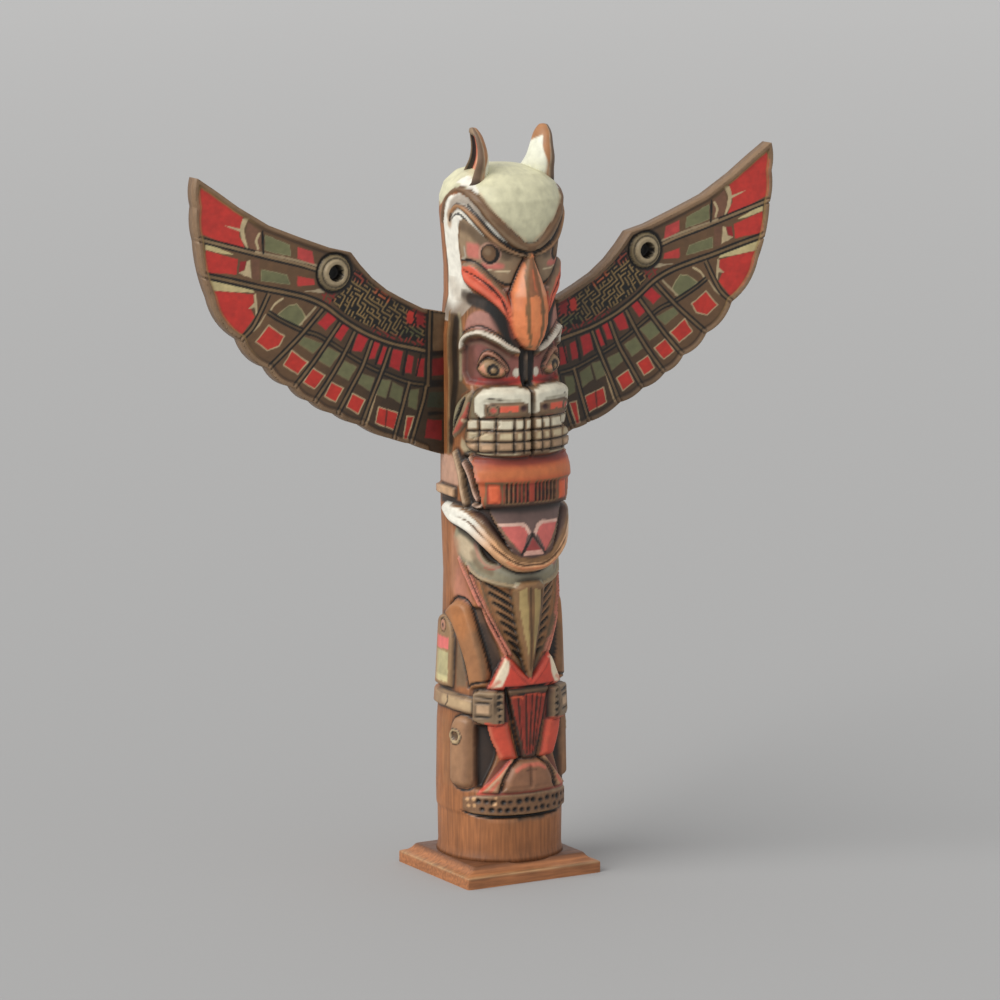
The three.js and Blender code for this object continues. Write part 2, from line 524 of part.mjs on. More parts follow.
// squared forms across the front: the floor of the bowl, and the scroll above it
const across = (z, span, side, front, n = 16) => {
  const ring = [];
  for (let i = 0; i <= n; i++) {
    const angle = ((i / n) * 2 - 1) * span;
    const s = Math.abs(Math.sin(angle)) / side;
    const c = Math.cos(angle) / front;
    const r = (s ** 2.6 + c ** 2.6) ** (-1 / 2.6);
    ring.push(new THREE.Vector3(r * Math.sin(angle), -r * Math.cos(angle), z));
  }
  return ring;
};
raised.push(loft(BOWL.rows.map(([z, half, front]) => {
  const ring = across(z, THREE.MathUtils.degToRad(half), BOWL.side, front, 10);
  return [...ring, ring[ring.length - 1].clone().setY(-24), ring[0].clone().setY(-24)];
})));
raised.push(
  loft(
    [[SCROLL.top, 0.9], [253, 0.95], [248, 0.985], [242.5, 1], [240.6, 0.965], [231, 0.965], [228, 0.95], [SCROLL.foot, 0.9]].map(([z, k]) => {
      const ring = across(z, 27.5 / GIRTH_RADIUS + (z - SCROLL.foot) * 0.006, SCROLL.side * k, SCROLL.front * k + 1.6);
      ring.push(new THREE.Vector3(14, -24, z), new THREE.Vector3(-14, -24, z));
      return ring;
    }),
  ),
);
raised.push(area(log, [[-15, 117.6], [-12, 103], [-8.4, 88], [-4, 74]], [[15, 117.6], [12, 103], [8.4, 88], [4, 74]],
  { lifts: [0.6, 1, 0.6], lift: 2.2, steps: 4 }));
raised.push(area(log, [[-17, 54], [-15.6, 62], [-12, 69.6], [-7, 73.6]], [[17, 54], [15.6, 62], [12, 69.6], [7, 73.6]],
  { lifts: [0.2, 0.95, 0.95, 0.2], lift: (t) => 4.4 - 1.4 * t, steps: 6, ends: [1, 0.5] }));
carved.push(hollow(log, [[-7, 321], [-6.4, 308], [-4.4, 297], [-1.6, 290]], [[7, 321], [6.4, 308], [4.4, 297], [1.6, 290]], 3.2, 5));
raised.push(ribbon(log, [[0, 320], [0, 308], [0, 297]], 3.4, { lift: -0.8, root: -6, steps: 2 }));
fine.push(cut(log, [[0, 298], [0, 280], [0, 255]], 1.6, 0.6, 3));
fine.push(cut(log, [[-43, 41.2], [-34, 39.8], [-18, 39.2], [0, 39], [18, 39.2], [34, 39.8], [43, 41.2]], (t) => 2.2 * Math.sin(Math.PI * Math.min(1, Math.max(0.08, t))) ** 0.3, 2.6, 12));

for (const solid of carved) pole = pole.subtract(solid);
pole = pole.add(joined(raised));
pole = pole.subtract(joined(fine));
for (const side of [-1, 1]) pole = pole.subtract(ear(side, 0.74, 0.62, 1));

pole = simplified(pole, POLE_TRIANGLES);

// slots for the wings
const box = (x, y, z, cx, cy, cz) => placed(new THREE.BoxGeometry(x, y, z), new THREE.Matrix4().makeTranslation(cx, cy, cz));
const slotWidth = WING.back - WING.face + WING.rim + 2 * CLEARANCE;
const slotY = (WING.back + WING.face - WING.rim) / 2;
for (const side of [-1, 1])
  pole = pole.subtract(box(20, slotWidth, 89, side * (WING.root - CLEARANCE + 10), slotY, (340.4 + 251.6) / 2));

// ---------------------------------------------------------------- wings
const wing = (side) => {
  const map = onWing(side);
  const outline = new THREE.Shape();
  outline.moveTo(WING.root, 253);
  outline.lineTo(WING.root, 338.6);
  WING_TOP.forEach(([x, z]) => outline.lineTo(x, z));
  let [px, pz] = WING_TOP[WING_TOP.length - 1];
  FEATHER_ENDS.forEach(([x, z], i) => {
    const out = new THREE.Vector2(pz - z, x - px).normalize().multiplyScalar(-FEATHER_BULGE[i]);
    const steps = i > 1 && i < 9 ? 4 : 2;
    for (let k = 1; k <= steps; k++) {
      const t = k / steps;
      const b = 4 * t * (1 - t);
      outline.lineTo(px + (x - px) * t - out.x * b, pz + (z - pz) * t - out.y * b);
    }
    px = x;
    pz = z;
  });
  const points = outline.getPoints(1);
  const slab = (shape, front, back) => {
    const g = new THREE.ExtrudeGeometry(shape, { depth: back - front, bevelEnabled: false, steps: 1 });
    g.rotateX(Math.PI / 2); // the outline's second axis now points up and the depth towards -Y
    g.translate(0, back, 0);
    if (side < 0) g.scale(-1, 1, 1);
    const solid = solidOf(side < 0 ? flipped(g) : g);
    return solid;
  };
  let board = slab(outline, WING.face - WING.rim, WING.back);
  // the field inside the rim lies a little deeper
  const inner = inset(points, WING.rimWidth).slice(2); // all but the straight root edge
  const field = new THREE.Shape([[WING.root - 2, 256], [WING.root - 2, 336], ...inner].map(([x, z]) => new THREE.Vector2(x, z)));
  board = board.subtract(slab(field, WING.face - WING.rim - 4, WING.face));
  board = board.add(round(map, WING.boss.x, WING.boss.z, WING.boss.radius, -3, WING.boss.proud, 20));
  const cuts = WING_LINES.map((l) => cut(map, l, WING.groove.width, WING.groove.depth, Math.max(3, Math.min(9, l.length - 1))));
  const boss = round(map, WING.boss.x, WING.boss.z, WING.boss.radius + 0.4, -4, WING.boss.proud + 1, 20);
  board = board.subtract(joined(cuts).subtract(boss));
  board = board.subtract(round(map, WING.boss.x, WING.boss.z, WING.boss.hole, WING.boss.proud - WING.boss.depth, WING.boss.proud + 1, 14));
  return board;
};
// an outline moved inwards by the given distance
const inset = (points, distance) => {
  const out = [];
  const n = points.length;
  points.forEach((p, i) => {
    const a = points[(i + n - 1) % n];
    const b = points[(i + 1) % n];
    const d = new THREE.Vector2(b.x - a.x, b.y - a.y).normalize();
    out.push([p.x + d.y * distance, p.y - d.x * distance]);
  });
  return out;
};
const flipped = (g) => {
  const h = g.index ? g.toNonIndexed() : g;
  const p = h.attributes.position;
  for (let i = 0; i < p.count; i += 3) {
    const [x, y, z] = [p.getX(i), p.getY(i), p.getZ(i)];
    p.setXYZ(i, p.getX(i + 1), p.getY(i + 1), p.getZ(i + 1));
    p.setXYZ(i + 1, x, y, z);
  }
  return h;
};

// ---------------------------------------------------------------- foot plate
const plateRow = (half, k) =>
  [[-1, -1], [1, -1], [1, 1], [-1, 1]].map(([a, b]) => new THREE.Vector3(a * half * (PLATE.x / 2) * k, b * half * (PLATE.y / 2) * k, 0));
const plateSections = [
  [0, 1], [PLATE.edge - 0.8, 1], [PLATE.edge, 0.985], [PLATE.edge + 0.6, 0.93], [8.6, 0.89], [10.4, 0.86], [11.6, 0.84], [PLATE.top, 0.82],
].map(([z, k]) => plateRow(1, k).map((p) => p.setZ(z)));
const plate = loft(plateSections);

// ---------------------------------------------------------------- the object
const totem = new THREE.Group();
const add = (name, solid, color, roughness) => {
  const mesh = new THREE.Mesh(geometryOf(solid), new THREE.MeshStandardMaterial({ color, roughness, metalness: 0 }));
  mesh.name = name;
  totem.add(mesh);
};
add("pole", pole, 0x8a5a3a, 0.55);
add("base_plate", plate, 0x9c6238, 0.5);
add("wing_right", wing(-1), 0x7a3026, 0.6);
add("wing_left", wing(1), 0x7a3026, 0.6);

export default totem;
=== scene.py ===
"""Dresses the carved and painted totem pole in the CAD frame.

The log is one height field round its axis: u is millimetres round the girth from the front
centre line (+ is +X) and z is the height. The wings are height fields over x and z. Carving and
paint are laid on both with the same few tools, from lines named in millimetres.
"""
import math
from collections import namedtuple

import bpy
import numpy as np
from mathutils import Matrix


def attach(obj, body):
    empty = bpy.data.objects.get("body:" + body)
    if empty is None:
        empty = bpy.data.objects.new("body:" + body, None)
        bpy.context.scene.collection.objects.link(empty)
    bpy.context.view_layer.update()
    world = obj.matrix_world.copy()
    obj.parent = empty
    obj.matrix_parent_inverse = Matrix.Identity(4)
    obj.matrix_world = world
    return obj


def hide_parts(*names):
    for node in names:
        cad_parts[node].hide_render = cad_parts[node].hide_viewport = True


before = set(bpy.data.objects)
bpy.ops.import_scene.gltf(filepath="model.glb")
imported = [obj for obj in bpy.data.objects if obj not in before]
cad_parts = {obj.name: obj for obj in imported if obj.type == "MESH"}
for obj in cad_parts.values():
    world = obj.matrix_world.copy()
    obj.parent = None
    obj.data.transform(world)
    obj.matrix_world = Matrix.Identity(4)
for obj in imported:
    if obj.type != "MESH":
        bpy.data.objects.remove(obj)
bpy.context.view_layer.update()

MM = 0.001
GIRTH_RADIUS = 36.0

# ---------------------------------------------------------------- camera
camera = bpy.data.objects.new("camera", bpy.data.cameras.new("camera"))
camera.data.lens = 192.87
camera.data.sensor_width = 36
camera.data.clip_end = 200
camera.location = (-1.5777, -2.7291, 0.7713)
camera.rotation_euler = (math.radians(90 - 9.836), 0, math.radians(-30.04))
bpy.context.scene.collection.objects.link(camera)
bpy.context.scene.camera = camera
bpy.context.scene.view_settings.view_transform = "Standard"


# ---------------------------------------------------------------- colour
def paint_of(red, green, blue):
    """A paint given as 0 to 255 screen values, in linear light."""
    c = np.array([red, green, blue], float) / 255
    return np.where(c <= 0.04045, c / 12.92, ((c + 0.055) / 1.055) ** 2.4)


BLACK = paint_of(14, 11, 8)
DARK = paint_of(52, 36, 24)
STAIN = paint_of(158, 100, 58)  # stained, unpainted wood
STAIN_DARK = paint_of(104, 62, 36)
BROWN = paint_of(112, 82, 55)
TAUPE = paint_of(150, 126, 98)
TAN = paint_of(186, 148, 110)
GOLD = paint_of(178, 142, 84)
CREAM = paint_of(228, 210, 172)
WHITE = paint_of(240, 236, 222)
CROWN = paint_of(214, 210, 176)
SALMON = paint_of(226, 132, 104)
ORANGE = paint_of(222, 130, 80)
CORAL = paint_of(222, 96, 70)
RED = paint_of(206, 56, 44)
CRIMSON = paint_of(158, 34, 36)
PINK = paint_of(222, 112, 106)
SKIN = paint_of(146, 88, 78)
MAROON = paint_of(84, 58, 52)
OLIVE = paint_of(128, 128, 88)
SAGE = paint_of(176, 164, 120)
RUST = paint_of(190, 92, 54)


# ---------------------------------------------------------------- lines and soft steps
def curve(points, steps=6):
    """A smooth line through the points."""
    p = np.array(points, float)
    if len(p) < 3:
        return p
    p = np.vstack([2 * p[0] - p[1], p, 2 * p[-1] - p[-2]])
    t = np.arange(steps)[:, None] / steps
    out = []
    for a, b, c, d in zip(p, p[1:], p[2:], p[3:]):
        out.append(0.5 * (2 * b + (c - a) * t + (2 * a - 5 * b + 4 * c - d) * t**2 + (3 * b - a - 3 * c + d) * t**3))
    return np.vstack([*out, p[-2][None]])


def step(x):
    x = np.clip(x, 0, 1)
    return x * x * (3 - 2 * x)


def noise(x, y, scale, seed):
    """Smooth noise from -1 to 1, with bumps about `scale` apart."""
    lattice = np.random.default_rng(seed).uniform(-1, 1, (64, 64))
    x, y = np.asarray(x) / scale, np.asarray(y) / scale
    i, j = np.floor(x).astype(int), np.floor(y).astype(int)
    fx, fy = step(x - i), step(y - j)
    i0, i1, j0, j1 = i % 64, (i + 1) % 64, j % 64, (j + 1) % 64
    low = lattice[i0, j0] * (1 - fx) + lattice[i1, j0] * fx
    high = lattice[i0, j1] * (1 - fx) + lattice[i1, j1] * fx
    return low * (1 - fy) + high * fy


def soften(field, rows, cols, wrap=False):
    """A field blurred by so many rows and columns."""
    for axis, sigma in ((0, rows), (1, cols)):
        reach = max(1, int(3 * sigma))
        k = np.exp(-0.5 * (np.arange(-reach, reach + 1) / sigma) ** 2)
        k /= k.sum()
        pad = [(0, 0), (0, 0)]
        pad[axis] = (reach, reach)
        padded = np.pad(field, pad, mode="wrap" if wrap and axis == 1 else "edge")
        n = field.shape[axis]
        field = sum(w * (padded[i : i + n] if axis == 0 else padded[:, i : i + n]) for i, w in enumerate(k))
    return field


# ---------------------------------------------------------------- carving and painting tools
Mark = namedtuple("Mark", "at depth along")  # points, how far inside the mark they lie, and the way along it


class Surface:
    """A surface laid out flat, with a lift and a paint colour at each of its points."""

    def __init__(self, across, up, ground, seed):
        self.shape = across.shape
        self.across, self.up = across.ravel(), up.ravel()
        self.lift = np.zeros(self.across.size)
        self.paint = np.tile(ground, (self.across.size, 1))
        self.cover = np.zeros(self.across.size)  # 0 is bare stained wood, 1 is paint
        self.hand = noise(across, up, 2.3, seed).ravel() * 0.22 + noise(across, up, 6.5, seed + 1).ravel() * 0.3

    def _near(self, line, margin):
        low, high = line.min(0) - margin, line.max(0) + margin
        return np.nonzero(
            (self.across > low[0]) & (self.across < high[0]) & (self.up > low[1]) & (self.up < high[1])
        )[0]

    def _distance(self, at, line, along):
        px, py = self.across[at], self.up[at]
        best = np.full(len(at), 1e9)
        t = np.zeros(len(at))
        for i in range(len(line) - 1):
            (x, y), (dx, dy) = line[i], line[i + 1] - line[i]
            length = dx * dx + dy * dy
            if length < 1e-12:
                continue
            w = np.clip(((px - x) * dx + (py - y) * dy) / length, 0, 1)
            d = (px - x - w * dx) ** 2 + (py - y - w * dy) ** 2
            nearer = d < best
            best = np.where(nearer, d, best)
            t = np.where(nearer, along[i] + w * (along[i + 1] - along[i]), t)
        return np.sqrt(best), t

    def line(self, points, width, smooth=True, margin=2.5):
        """A stroke along a line; the width may change along it."""
        line = curve(points) if smooth else np.array(points, float)
        at = self._near(line, margin + (width if np.isscalar(width) else 6) / 2)
        steps = np.concatenate([[0], np.cumsum(np.hypot(*np.diff(line, axis=0).T))])
        d, t = self._distance(at, line, steps / steps[-1])
        half = width / 2 if np.isscalar(width) else width(t) / 2
        return Mark(at, half - d, t)

    def area(self, points, smooth=False, margin=3.0, along=None):
        """The inside of a closed outline."""
        line = np.array(points, float)
        line = curve(np.vstack([line, line[:1]])) if smooth else np.vstack([line, line[:1]])
        at = self._near(line, margin)
        way = np.zeros(len(line)) if along is None else np.append(along, along[0])
        d, t = self._distance(at, line, way)
        px, py = self.across[at], self.up[at]
        inside = np.zeros(len(at), bool)
        for (x0, y0), (x1, y1) in zip(line, line[1:]):
            crosses = (y0 > py) != (y1 > py)
            if y0 != y1:
                inside ^= crosses & (px < (x1 - x0) * (py - y0) / (y1 - y0) + x0)
        return Mark(at, np.where(inside, d, -d), t)

    def between(self, one, other, margin=3.0):
        """The area between two edge lines that run the same way."""
        a, b = curve(one), curve(other)
        t = np.concatenate([np.linspace(0, 1, len(a)), np.linspace(0, 1, len(b))[::-1]])
        return self.area(np.vstack([a, b[::-1]]), margin=margin, along=t)

    def spot(self, x, y, radius, margin=3.0, squash=1.0):
        at = self._near(np.array([[x, y]], float), radius + margin)
        d = np.hypot(self.across[at] - x, (self.up[at] - y) / squash)
        return Mark(at, radius - d, np.zeros(len(at)))

    # carving
    def rise(self, mark, lift, edge=2.5, low=0.0):
        """Leaves the mark standing, rounded off within `edge` of its outline."""
        s = np.clip(mark.depth / edge, 0, 1)
        high = lift(mark.along) if callable(lift) else lift
        top = low + (high - low) * (1 - (1 - s) ** 2)
        at = mark.at[mark.depth > 0]
        self.lift[at] = np.maximum(self.lift[at], np.broadcast_to(top, mark.depth.shape)[mark.depth > 0])

    def sink(self, mark, depth, edge=2.5):
        s = np.clip(mark.depth / edge, 0, 1)
        at = mark.at[mark.depth > 0]
        self.lift[at] = np.minimum(self.lift[at], (-depth * (1 - (1 - s) ** 2))[mark.depth > 0])

    def groove(self, mark, depth, edge=0.7):
        self.lift[mark.at] -= depth * step((mark.depth + 0.15) / edge)

    def add(self, mark, lift, edge=1.0):
        self.lift[mark.at] += lift * step(mark.depth / edge)

    # paint
    def coat(self, mark, colour, inset=0.0, soft=0.55, strength=1.0, cover=1.0, loose=1.0):
        depth = mark.depth - inset + self.hand[mark.at] * loose
        w = step(depth / soft + 0.5) * strength
        self.paint[mark.at] += (colour - self.paint[mark.at]) * np.reshape(w, (-1, 1))
        self.cover[mark.at] += (cover - self.cover[mark.at]) * w

    def shade_and_stain(self, mark, colour, reach=2.0, strength=0.7, rise=0.0):
        """Thin colour that fades out over `reach` outside the mark; it lays painted shade in hollows and under
        overhangs, and stains.
        """
        w = step(1 + (mark.depth - rise) / reach) * strength
        self.paint[mark.at] += (colour - self.paint[mark.at]) * np.reshape(w, (-1, 1))


def flip(points):
    return [(-x, y) for x, y in points]


# ---------------------------------------------------------------- the log
# [z, half width, front reach, back reach]
LOG = np.array([
    (11.6, 36.8, 37.6, 36.6), (17, 35.6, 36.6, 35.6), (39, 35.9, 36.8, 35.9), (41, 36.6, 37.6, 36.5),
    (54, 36.8, 37.2, 36.8), (57, 36.7, 34.6, 36.7), (92, 36.2, 33.6, 36.4), (118, 34.2, 34.0, 35.4),
    (150, 32.6, 34.2, 34.0), (182, 32.0, 34.6, 33.2), (224, 33.8, 35.6, 33.8), (300, 33.8, 34.4, 33.6),
    (326, 34.0, 34.0, 33.6), (350, 31.6, 31.4, 32.6), (366, 31.6, 33.0, 32.8), (384, 33.0, 36.4, 33.8),
    (398, 34.4, 37.6, 34.6), (408, 34.2, 37.0, 34.6), (416, 31.4, 33.6, 32.4), (422.4, 24.6, 26.2, 26.0),
    (426.2, 13.6, 14.6, 14.4), (427.2, 5.0, 5.0, 5.0),
])
SECTION_POWER = 2.3


def squared(angle, side, front, power):
    return (np.abs(np.sin(angle) / side) ** power + np.abs(np.cos(angle) / front) ** power) ** (-1 / power)


def log_radius(angle, z):
    side, front, back = (np.interp(z, LOG[:, 0], LOG[:, k]) for k in (1, 2, 3))
    return squared(angle, side, np.where(np.cos(angle) > 0, front, back), SECTION_POWER)


def log_rows():
    """Heights of the grid's rows: coarse on the plain foot, fine on the carving, even over the dome."""
    plain = np.arange(11.6, 37.6, 2.6)
    band = np.arange(37.6, 57, 0.78)
    carved = np.arange(57, 414, 0.93)
    dome_z = np.linspace(414, 427.2, 400)
    girth = np.interp(dome_z, LOG[:, 0], LOG[:, 1])
    way = np.concatenate([[0], np.cumsum(np.hypot(np.diff(dome_z), np.diff(girth)))])
    dome = np.interp(np.arange(0, way[-1], 1.5), way, dome_z)
    return np.concatenate([plain, band, carved, dome, [427.2]])


half = np.concatenate([np.arange(0.42, 80, 0.84), np.linspace(83, math.pi * GIRTH_RADIUS - 1.5, 11)])
COLUMNS = np.concatenate([-half[::-1], half])
ROWS = log_rows()
U, Z = np.meshgrid(COLUMNS, ROWS)
ANGLE = U / GIRTH_RADIUS
BODY = log_radius(ANGLE, Z)

pole = Surface(-np.abs(U), Z, STAIN, seed=3)  # carved alike on both sides of the front centre line
pole.hand = (noise(U, Z, 2.3, 5) * 0.22 + noise(U, Z, 6.5, 6) * 0.3).ravel()


def set_forward(rows, back, profile):
    """Lift of a keel-like form on the centre line: rows of [z, half width, front reach]."""
    rows = np.array(sorted(rows))
    lift = np.full(U.shape, -99.0)
    x, d = curve(profile).T
    for i, z in enumerate(ROWS):
        if rows[0, 0] <= z <= rows[-1, 0]:
            wide, front = np.interp(z, rows[:, 0], rows[:, 1]), np.interp(z, rows[:, 0], rows[:, 2])
            px, py = wide * x, back + (front - back) * d
            a = np.arctan2(px, py)
            order = np.argsort(a)
            r = np.interp(np.abs(ANGLE[i]), a[order], np.hypot(px, py)[order], right=-99)
            lift[i] = r - BODY[i]
    pole.lift = np.maximum(pole.lift, lift.ravel())


KEEL = [(0, 1), (0.3, 0.98), (0.6, 0.9), (0.86, 0.72), (0.97, 0.54), (1, 0.3)]
BEAK = [(377, 1.6, 37.4), (371, 4.6, 39.2), (362, 8.4, 41.8), (353, 11.4, 44.0), (344, 12.6, 45.0), (335, 12.0, 45.2),
        (328, 9.6, 44.6), (323, 6.0, 43.2), (319.6, 2.2, 41.4)]
LONG_BEAK = [(181, 9.5, 38.4), (178, 11.2, 40.2), (165, 9.6, 40.6), (150, 7.0, 40.2), (136, 4.2, 39.4), (122, 1.2, 38.0)]


# ---------------------------------------------------------------- upper bird
def upper_bird(p):
    m = p.area([(2, 382), (-4, 384), (-10, 390), (-20, 400), (-29, 411), (-37, 414.6), (-48, 415.6), (-58, 412), (-67, 404),
                (-74, 401), (-120, 402), (-120, 430), (2, 430)])
    p.coat(m, CROWN)
    # white cheek and neck, from under the brow line down to the wing
    neck = p.area([(-65, 398), (-62, 404.6), (-55, 410), (-46, 411.6), (-38, 409.6), (-30, 403), (-22, 394), (-14, 385),
                   (-20, 381), (-30, 389), (-39, 396), (-45, 396), (-47.6, 386), (-47, 374), (-46, 366), (-42, 358), (-34, 352),
                   (-37, 346), (-46, 338), (-54, 334), (-70, 335), (-66, 342), (-63.4, 350), (-63, 364), (-64.6, 380)])
    p.coat(neck, WHITE)
    # Painted shade: brown and grey washes darken the bottom of the white neck, over the wing root.
    p.shade_and_stain(p.line([(-64, 340), (-54, 338), (-45, 343), (-37, 349)], 3), BROWN, reach=9, strength=0.75)
    p.shade_and_stain(p.line([(-58, 358), (-50, 352), (-42, 352)], 3), TAUPE, reach=8, strength=0.35)
    p.line_rear = p.line([(-66, 399), (-65.6, 384), (-64, 366), (-63.6, 350), (-67, 340)], 1.6)
    p.coat(p.line_rear, BROWN, strength=0.8)
    # brow band from the nose over the eye and round under the ear
    band = p.between([(2, 383.4), (-4, 384), (-10, 389.6), (-20, 399.6), (-29, 410.4), (-38, 414.4), (-48, 415.4), (-57, 412.4), (-65, 403.6),
                      (-69, 392)],
                     [(2, 377.4), (-4, 377.8), (-10, 381), (-17, 387), (-25, 396), (-33, 406), (-41, 411), (-50, 412.2), (-58, 407.6),
                      (-65.4, 392)])
    p.rise(band, lambda t: 2.8 - 2.1 * t, edge=1.8)
    p.coat(band, BROWN)
    p.coat(p.line([(-4, 380), (-12, 385), (-22, 396), (-31, 407), (-40, 412)], lambda t: 2.4 - 1.2 * t), TAUPE, soft=1.6, strength=0.55)
    p.coat(p.line([(-2, 384.2), (-10, 390.6), (-20, 400.6), (-29.6, 411.6), (-33, 414)], 0.95), CREAM)
    p.coat(p.area([(-55, 417), (-51, 420.4), (-44, 421), (-37, 418.6), (-31.6, 413.4), (-33, 412.6), (-38, 415), (-47, 416.6)], smooth=True),
           WHITE)
    # lower brow with its curled outer end
    brow_line = [(-1, 375.6), (-10, 377.2), (-20, 383.6), (-30, 394), (-38, 401.4), (-46, 404.4), (-52, 401.4), (-55.4, 395)]
    # Painted shade: brown and tan washes round the outer curl of the lower brow.
    p.shade_and_stain(p.line([(-56, 398), (-52, 405.4), (-45, 408.6), (-37, 406.4), (-28, 398)], 2.4), BROWN, reach=3.4, strength=0.62)
    p.shade_and_stain(p.line([(-55.6, 399), (-56.6, 393)], 2.0), TAN, reach=3.2, strength=0.75)
    brow = p.line(brow_line, lambda t: 5.2 - 2.6 * t**2)
    p.rise(brow, lambda t: 2.8 - 1.3 * t, edge=2.2)
    p.coat(brow, DARK)
    p.coat(brow, BROWN, inset=0.7)
    p.coat(p.line([(-8, 377.4), (-18, 382.8), (-28, 392.8), (-37, 401), (-46, 404), (-52, 401)], lambda t: 1.4 + 1.2 * t), paint_of(176, 128, 86),
           soft=1.0, strength=0.8)
    cut = p.line([(-3, 377.6), (-12, 380.8), (-22, 388.8), (-31, 399), (-38, 405.4)], lambda t: 2.2 - 1.1 * t)
    p.groove(cut, 1.8)
    p.coat(cut, BLACK)
    under = p.line([(-52.6, 396.6), (-48, 399.4), (-42.6, 398.4), (-34, 391), (-25, 382.6), (-17, 377.6), (-8, 375)], lambda t: 1.0 + 0.9 * np.sin(3.14 * t))
    p.groove(under, 1.2)
    p.coat(under, BLACK)
    # face panel
    panel = p.area([(-3, 374.6), (-12, 377.2), (-20, 381), (-30, 388.4), (-38, 395), (-42, 396.6), (-45.6, 393.6), (-47.6, 385), (-47, 375.6),
                    (-43, 372.4), (-35, 371), (-27, 367), (-20, 361.6), (-14, 359.4), (-8, 360.6)])
    p.sink(panel, 4.6, edge=3.2)
    p.coat(panel, TAUPE, inset=-0.6)
    # Painted shade under the overhanging lower brow, fading down the face panel.
    p.shade_and_stain(p.line([(-44, 393), (-36, 390), (-26, 382), (-14, 376)], 2.2), DARK, reach=4, strength=0.55)
    p.coat(p.line([(-45.4, 392), (-47, 384), (-46, 374)], 1.1), BROWN)
    # Painted highlight: a greyish white streak at the rear of the face panel.
    p.coat(p.line([(-45.4, 372.8), (-42, 374.6), (-42.6, 380)], 1.3), paint_of(190, 186, 168), soft=1.4, strength=0.7)
    p.coat(p.area([(-40, 383), (-32, 382.6), (-30.6, 377), (-32, 374), (-40, 375.6)], smooth=True), PINK, soft=3, strength=0.62)
    p.coat(p.area([(-30, 371.6), (-22, 372), (-16, 371), (-17, 368.4), (-27, 368)], smooth=True), PINK, soft=2.4, strength=0.7)
    p.coat(p.line([(-26, 367.8), (-19, 366.6), (-12.6, 366.6)], 0.8), CREAM, strength=0.8)
    ring = p.spot(-24.6, 377.2, 6.9)
    p.coat(ring, paint_of(196, 150, 128), soft=1.2, strength=0.7)
    socket = p.spot(-24.4, 377.0, 5.9)
    p.sink(socket, 5.9, edge=1.2)
    p.coat(socket, BLACK)
    ball = p.spot(-25.0, 377.6, 4.5, squash=1.1)
    p.lift[ball.at] = np.maximum(p.lift[ball.at], np.where(ball.depth > 0, -5.4 + 2.6 * np.sqrt(np.clip(1 - (1 - ball.depth / 4.5) ** 2, 0, 1)), -99))
    p.coat(ball, BROWN, inset=0.3)
    # Painted highlight: a lighter spot on the upper side of the eyeball.
    p.coat(p.spot(-25.8, 378.4, 2.2), TAUPE, soft=2, strength=0.55)
    # mouth band, beak and the dark hollow under them
    hollow = p.between([(-40, 355), (-33, 352), (-26, 349), (-19, 343), (-13, 334), (-9, 324)],
                       [(-42, 349), (-36, 346), (-28, 343.6), (-21, 338.6), (-15.6, 330), (-8, 320.6)])
    p.sink(hollow, 4.4, edge=2.5)
    # The hollow under the mouth band is painted near black, a dark wash together with painted shade of the cave; it
    # fades out to the left.
    p.shade_and_stain(p.line([(-38, 350), (-28, 347), (-19.6, 340), (-13.6, 331), (-9, 322)], 5.0), BLACK, reach=2.6, strength=1)
    p.shade_and_stain(p.line([(-44, 352), (-38, 350), (-30, 347)], 1.5), DARK, reach=5, strength=0.8)
    mouth = p.between([(-46.4, 366), (-44, 370.4), (-36, 371.4), (-29, 367.6), (-21, 360.6), (-13.6, 353), (-9, 344)],
                      [(-46, 364), (-43, 359.2), (-36, 355.2), (-27, 350.4), (-19, 344), (-13, 336), (-9.4, 325)])
    p.rise(mouth, lambda t: 1.6 + 3.6 * t, edge=2.6)
    p.coat(mouth, BROWN)
    p.coat(mouth, CORAL, inset=0.5)
    p.coat(p.line([(-44, 369.6), (-36, 370.4), (-29, 366.4), (-21, 359.6), (-14.6, 351), (-11.6, 341), (-10, 330)], 1.9), paint_of(140, 112, 86))
    p.coat(p.line([(-42, 364), (-34, 359), (-24, 352), (-16, 343)], 2.4), SALMON, soft=3, strength=0.35)
    crease = p.line([(-42.6, 366.4), (-34, 364), (-25, 358.4), (-17.4, 350), (-12.8, 339)], lambda t: 0.7 + 0.8 * np.sin(3.14 * t))
    p.groove(crease, 1.2)
    p.coat(crease, paint_of(62, 22, 14))
    edge = p.line([(-46, 372), (-37, 372.6), (-29.6, 369.4), (-21.6, 362.4), (-14, 358.6), (-9, 359.6)], 1.3)
    p.groove(edge, 1.2)
    p.coat(edge, BLACK)
    # Painted highlight: a pale pink patch on the mouth band beside the beak.
    p.coat(p.area([(-17, 356), (-11.6, 357.4), (-10.6, 353), (-12.6, 351.6)]), paint_of(226, 186, 168), soft=1.2)


